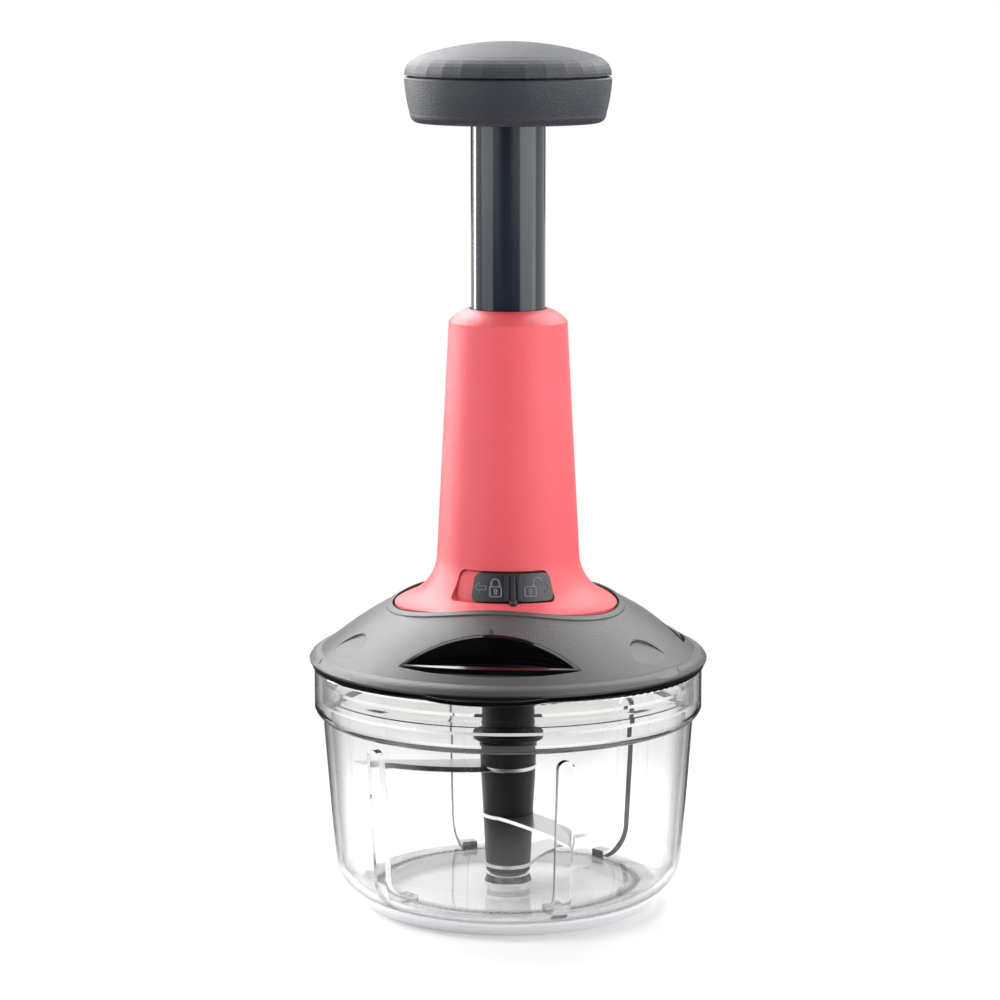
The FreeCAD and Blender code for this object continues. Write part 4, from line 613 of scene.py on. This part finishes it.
# %% Shape of the pointer
POINTER_R = 1.5
POINTER_THICKNESS = 0.8
POINTER_CUT = 0.6            # height of the flat top, in radii above the middle
POINTER_DRAFT = (0.75, 1, 0.85)
POINTER_EDGE_MM = 0.12
FRONT_NORMAL_Y = -0.9        # a face with less than this looks to the front

pointer = started("lock_pointer", bpy.ops.mesh.primitive_cylinder_add, vertices=32,
                  radius=POINTER_R * MM, depth=POINTER_THICKNESS * MM,
                  rotation=(math.pi / 2, 0, 0))
settle(pointer)
bpy.ops.object.mode_set(mode="EDIT")
bpy.ops.mesh.select_all(action="SELECT")
bpy.ops.mesh.bisect(plane_co=(0, 0, POINTER_CUT * POINTER_R * MM), plane_no=(0, 0, 1),
                    use_fill=True, clear_outer=True)
bpy.ops.mesh.select_all(action="DESELECT")
bpy.ops.object.mode_set(mode="OBJECT")
for face in pointer.data.polygons:
    face.select = face.normal.y < FRONT_NORMAL_Y
bpy.ops.object.mode_set(mode="EDIT")
bpy.ops.mesh.select_mode(type="FACE")
bpy.ops.transform.resize(value=POINTER_DRAFT)
bpy.ops.object.mode_set(mode="OBJECT")
round_off = pointer.modifiers.new("round_off", "BEVEL")
round_off.width = POINTER_EDGE_MM * MM
round_off.segments = 2
bpy.ops.object.modifier_apply(modifier=round_off.name)
print("pointer, corners:", len(pointer.data.vertices))

# %% Place of the pointer
WINDOW_EDGE = (29.62, 105.25)      # radius and level of the tower just under the window
POINTER_LEAN = math.radians(57.6)  # from upright to along the flare
POINTER_GAP = 0.2
POINTER_RISE = 0.4                 # its middle above that edge, along the flare

pointer_off = POINTER_GAP + POINTER_THICKNESS / 2
pointer_r = (WINDOW_EDGE[0] + pointer_off * math.cos(POINTER_LEAN)
             - POINTER_RISE * math.sin(POINTER_LEAN))
pointer_level = (WINDOW_EDGE[1] + pointer_off * math.sin(POINTER_LEAN)
                 + POINTER_RISE * math.cos(POINTER_LEAN))
pointer.location = (pointer_r * math.sin(FACE_AZIMUTH) * MM,
                    -pointer_r * math.cos(FACE_AZIMUTH) * MM, pointer_level * MM)
pointer.rotation_euler = (-POINTER_LEAN, 0, FACE_AZIMUTH)
finish_piece(pointer, "lock", "dark_grey_shell", slider_abs)

# %% [markdown]
# ## The studio
# Clear plastic and glossy black show whatever stands round them, so the studio decides how they
# look. Behind the object all is white. In reflections the front is dark, two dark flags stand
# behind the object at the sides, and dark cards lie on the floor beside it. Six soft lamps and the
# sky light the object at a level where a colour comes out about as it is written. A floor could be
# lit until it is white, but then the object would be too bright, so floor and sky glow white only
# for the camera and in reflections.
#
# ### Which rays see the backdrop
# A Light Path node says what kind of ray is asking. Is Glossy Ray isn't enough to know a
# reflection, because rays that pass through clear plastic carry that mark too. So one helper finds
# rays that go straight on from the camera, bent by clear plastic at most, and the other finds rays
# that a surface has thrown back.

# %% Rays that go straight on, and rays that are thrown back
LESS_THAN_ONE_BOUNCE = 0.5


def seen_straight(tree, ray):
    """1 for the camera, and for rays that only clear plastic has bent on their way."""
    bounces = add(tree, "ShaderNodeMath",
                  {0: ray.outputs["Diffuse Depth"], 1: ray.outputs["Glossy Depth"]},
                  operation="ADD")
    straight = add(tree, "ShaderNodeMath", {0: bounces, 1: LESS_THAN_ONE_BOUNCE},
                   operation="LESS_THAN")
    bent = add(tree, "ShaderNodeMath", {0: straight, 1: ray.outputs["Is Transmission Ray"]},
               operation="MULTIPLY")
    return add(tree, "ShaderNodeMath", {0: ray.outputs["Is Camera Ray"], 1: bent},
               operation="MAXIMUM")


def mirrored(tree, ray):
    """1 for rays that a surface has thrown back, 0 for those that passed clear plastic."""
    outside = add(tree, "ShaderNodeMath", {0: 1.0, 1: ray.outputs["Is Transmission Ray"]},
                  operation="SUBTRACT")
    return add(tree, "ShaderNodeMath", {0: outside, 1: ray.outputs["Is Glossy Ray"]},
               operation="MULTIPLY")


# %% [markdown]
# ### The floor
# The floor is a big disc. Near the ring it is pale paint that takes a soft shadow, and further
# out it changes to a white glow, so that no horizon shows. In reflections it is dark in front of
# the object, and at both sides of a strip that runs from the camera through the object. Real cards
# could lie there, but they would also show in the render and throw shadows.

# %% Floor disc
FLOOR_R = 3.0

clear_selection()
bpy.ops.mesh.primitive_circle_add(vertices=96, radius=FLOOR_R, fill_type="NGON")
floor = bpy.context.object
floor.name = "floor"
floor_paint, tree, place = new_finish("pale floor paint")
ray = add(tree, "ShaderNodeLightPath")
axes = add(tree, "ShaderNodeSeparateXYZ", {0: place})
reach = add(tree, "ShaderNodeVectorMath", {0: place}, operation="LENGTH").outputs["Value"]
print("floor radius in metres:", FLOOR_R)

# %% Dark front, for reflections
DARK_FRONT_Y = (-0.16, -0.075)     # metres, where it is full and where it ends

front = add(tree, "ShaderNodeMapRange", {"Value": axes.outputs["Y"], "From Min": DARK_FRONT_Y[0],
                                         "From Max": DARK_FRONT_Y[1], "To Min": 1.0,
                                         "To Max": 0.0})
front_card = add(tree, "ShaderNodeMath", {0: front, 1: ray.outputs["Is Glossy Ray"]},
                 operation="MULTIPLY")
print("dark front between Y", DARK_FRONT_Y, "and the floor's edge")

# %% Dark side cards, for reflections
BEHIND_LEAN = 0.118                # how far that strip runs to the left for each metre back
VIEW_SPREAD = 0.07                 # how much each side of it widens for each metre
CARD_EDGE = (0.070, 0.085)         # metres beside the strip, where a card starts and is full
CARD_END = (1.2, 0.9)              # metres from the middle, where it ends and is full

lean = add(tree, "ShaderNodeMath", {0: axes.outputs["Y"], 1: BEHIND_LEAN, 2: axes.outputs["X"]},
           operation="MULTIPLY_ADD")
away = add(tree, "ShaderNodeMath", {0: lean}, operation="ABSOLUTE")
deep = add(tree, "ShaderNodeMath", {0: axes.outputs["Y"]}, operation="ABSOLUTE")
beside = add(tree, "ShaderNodeMath", {0: deep, 1: -VIEW_SPREAD, 2: away},
             operation="MULTIPLY_ADD")
card = add(tree, "ShaderNodeMapRange",
           {"Value": beside, "From Min": CARD_EDGE[0], "From Max": CARD_EDGE[1]})
near = add(tree, "ShaderNodeMapRange",
           {"Value": reach, "From Min": CARD_END[0], "From Max": CARD_END[1]})
card = add(tree, "ShaderNodeMath", {0: card, 1: near}, operation="MULTIPLY")
side_card = add(tree, "ShaderNodeMath", {0: card, 1: mirrored(tree, ray)}, operation="MULTIPLY")
print("side cards start", CARD_EDGE[0], "m beside the strip")

# %% Floor paint and glow
SHADOW_R = (0.08, 0.26)            # metres, where the paint starts to fade and where it is gone
FRONT_LEVEL = 0.03                 # brightness of the dark front, where 1 is white
CARD_LEVEL = 0.08                  # brightness of the side cards

far = add(tree, "ShaderNodeMapRange",
          {"Value": reach, "From Min": SHADOW_R[0], "From Max": SHADOW_R[1]},
          interpolation_type="SMOOTHSTEP")
seen = add(tree, "ShaderNodeMath",
           {0: seen_straight(tree, ray), 1: ray.outputs["Is Glossy Ray"]}, operation="MAXIMUM")
covered = add(tree, "ShaderNodeMath", {0: far, 1: front_card}, operation="MAXIMUM")
covered = add(tree, "ShaderNodeMath", {0: covered, 1: side_card}, operation="MAXIMUM")
glow_share = add(tree, "ShaderNodeMath", {0: covered, 1: seen}, operation="MULTIPLY")
front_level = add(tree, "ShaderNodeMapRange",
                  {"Value": front_card, "To Min": 1.0, "To Max": FRONT_LEVEL})
side_level = add(tree, "ShaderNodeMapRange",
                 {"Value": side_card, "To Min": 1.0, "To Max": CARD_LEVEL})
glow_level = add(tree, "ShaderNodeMath", {0: front_level, 1: side_level}, operation="MULTIPLY")
paint = add(tree, "ShaderNodeBsdfPrincipled",
            {"Base Color": linear("#F2F2F2"), "Roughness": 0.6})
glow = add(tree, "ShaderNodeEmission", {"Color": (1, 1, 1, 1), "Strength": glow_level})
surface = add(tree, "ShaderNodeMixShader", {0: glow_share, 1: paint, 2: glow})
add(tree, "ShaderNodeOutputMaterial", {"Surface": surface})
floor.data.materials.append(floor_paint)
print("floor paint has", len(tree.nodes), "nodes")

# %% [markdown]
# ### The sky
# The world is a white wall for the camera, and a weaker even light for matt surfaces. What a
# reflection sees could be built from boards, but the world can answer by direction alone and
# throws no shadow: dark in front, white behind and at the sides, with a dark flag low behind the
# object at each side, which draws a dark line along glossy edges.

# %% Directions in the sky
FRONT_X = (0.20, 0.45)             # X of a direction, where the dark front ends and white is full
FRONT_Y = (-0.15, 0.05)            # Y of a direction, the same
FLAG_MIDDLE = -0.12                # X halfway between the flags
FLAG_INNER = (0.12, 0.18)          # X from there, where a flag starts and where it is full
FLAG_OUTER = (0.56, 0.48)          # the same for its outer side
FLAG_TOP = (0.28, 0.16)            # Z of a direction, the same for its top

world = bpy.data.worlds.new("studio")
bpy.context.scene.world = world
world.use_nodes = True
tree = world.node_tree
tree.nodes.clear()
ray = add(tree, "ShaderNodeLightPath")
way = add(tree, "ShaderNodeSeparateXYZ",
          {0: add(tree, "ShaderNodeTexCoord").outputs["Generated"]})
wide = add(tree, "ShaderNodeMath", {0: way.outputs["X"]}, operation="ABSOLUTE")
beside = add(tree, "ShaderNodeMapRange",
             {"Value": wide, "From Min": FRONT_X[0], "From Max": FRONT_X[1]})
behind = add(tree, "ShaderNodeMapRange",
             {"Value": way.outputs["Y"], "From Min": FRONT_Y[0], "From Max": FRONT_Y[1]})
open_sky = add(tree, "ShaderNodeMath", {0: beside, 1: behind}, operation="MAXIMUM")
aside = add(tree, "ShaderNodeMath", {0: way.outputs["X"], 1: -FLAG_MIDDLE}, operation="ADD")
aside = add(tree, "ShaderNodeMath", {0: aside}, operation="ABSOLUTE")
limits = [add(tree, "ShaderNodeMapRange", {"Value": value, "From Min": start, "From Max": full})
          for value, (start, full) in ((aside, FLAG_INNER), (aside, FLAG_OUTER),
                                       (way.outputs["Z"], FLAG_TOP))]
flags = limits[0]
for limit in limits[1:] + [behind]:
    flags = add(tree, "ShaderNodeMath", {0: flags, 1: limit}, operation="MULTIPLY")
print("nodes that tell directions:", len(tree.nodes))

# %% Light of the sky
SKY_DARK = 0.05                    # brightness of the dark front and of the flags
ROOM_LEVEL = 0.40                  # brightness of the sky for matt surfaces

open_level = add(tree, "ShaderNodeMapRange",
                 {"Value": open_sky, "To Min": SKY_DARK, "To Max": 1.0})
flag_level = add(tree, "ShaderNodeMapRange",
                 {"Value": flags, "To Min": 1.0, "To Max": SKY_DARK})
around = add(tree, "ShaderNodeMath", {0: open_level, 1: flag_level}, operation="MULTIPLY")
room = add(tree, "ShaderNodeMapRange", {"Value": ray.outputs["Is Glossy Ray"],
                                        "To Min": ROOM_LEVEL, "To Max": around})
level = add(tree, "ShaderNodeMapRange",
            {"Value": seen_straight(tree, ray), "To Min": room, "To Max": 1.0})
sky = add(tree, "ShaderNodeBackground", {"Color": (1, 1, 1, 1), "Strength": level})
add(tree, "ShaderNodeOutputWorld", {"Surface": sky})
print("sky level for matt surfaces:", ROOM_LEVEL)

# %% [markdown]
# ### The lamps
# Small lamps give hard shadows and hot spots, and a sun lights everything from one side, so these
# are area lamps, as large as studio soft boxes. Their mirror images are the highlights on tube and
# knob. They don't show through the clear bowl.

# %% Lamps
AIM = Vector((0, 0, 0.14))
# name, azimuth from the front in degrees, reach and height in metres, width and height of the box,
# and how many times brighter than white it is
LAMPS = (("left_box", -62, 1.00, 0.46, 0.85, 0.90, 1.6),
         ("right_box", 72, 1.00, 0.46, 1.20, 0.90, 2.3),
         ("left_strip", -118, 0.95, 0.46, 0.20, 0.90, 15.0),
         ("left_sky", -145, 0.90, 0.78, 0.65, 0.60, 6.2),
         ("right_sky", 145, 0.90, 0.78, 0.65, 0.60, 4.0),
         ("top_box", 180, 0.45, 1.15, 1.30, 0.90, 1.6))

for name, azimuth, reach, level, width, height, brightness in LAMPS:
    turn = math.radians(azimuth)
    place = Vector((reach * math.sin(turn), -reach * math.cos(turn), level))
    lamp = bpy.data.lights.new(name, "AREA")
    lamp.shape = "RECTANGLE"
    lamp.size = width
    lamp.size_y = height
    lamp.energy = brightness * math.pi * width * height
    holder = bpy.data.objects.new(name, lamp)
    holder.location = place
    holder.rotation_euler = (AIM - place).to_track_quat("-Z", "Y").to_euler()
    holder.visible_transmission = False
    bpy.context.scene.collection.objects.link(holder)
    print(name, "gives", round(lamp.energy, 2), "W")

# %% [markdown]
# ## The camera
# It stands a little over a metre away, 9 degrees above the table and about 7 degrees to the right
# of the front. A near camera with a short lens would swell whatever is closest to it, so it has a
# long lens. The lens is given by its focal length in pixels of an image 1000 pixels wide.

# %% Camera
FRAME_PX = 1000
FOCAL_PX = 3469
SENSOR_MM = 36
LENS_SHIFT = -0.00815
CAMERA_AZIMUTH = math.radians(6.75)
CAMERA_HEIGHT = math.radians(9.0)
CAMERA_REACH = 1.145
LOOK_AT = Vector((0, 0, 0.1347))

towards = Vector((math.sin(CAMERA_AZIMUTH) * math.cos(CAMERA_HEIGHT),
                  -math.cos(CAMERA_AZIMUTH) * math.cos(CAMERA_HEIGHT), math.sin(CAMERA_HEIGHT)))
lens = bpy.data.cameras.new("camera")
lens.lens = FOCAL_PX * SENSOR_MM / FRAME_PX
lens.sensor_width = SENSOR_MM
lens.shift_x = LENS_SHIFT
camera = bpy.data.objects.new("camera", lens)
camera.location = LOOK_AT + CAMERA_REACH * towards
camera.rotation_euler = (-towards).to_track_quat("-Z", "Y").to_euler()
bpy.context.scene.collection.objects.link(camera)
bpy.context.scene.camera = camera
bpy.context.scene.view_settings.view_transform = "Standard"
print("focal length in mm:", round(lens.lens, 1))
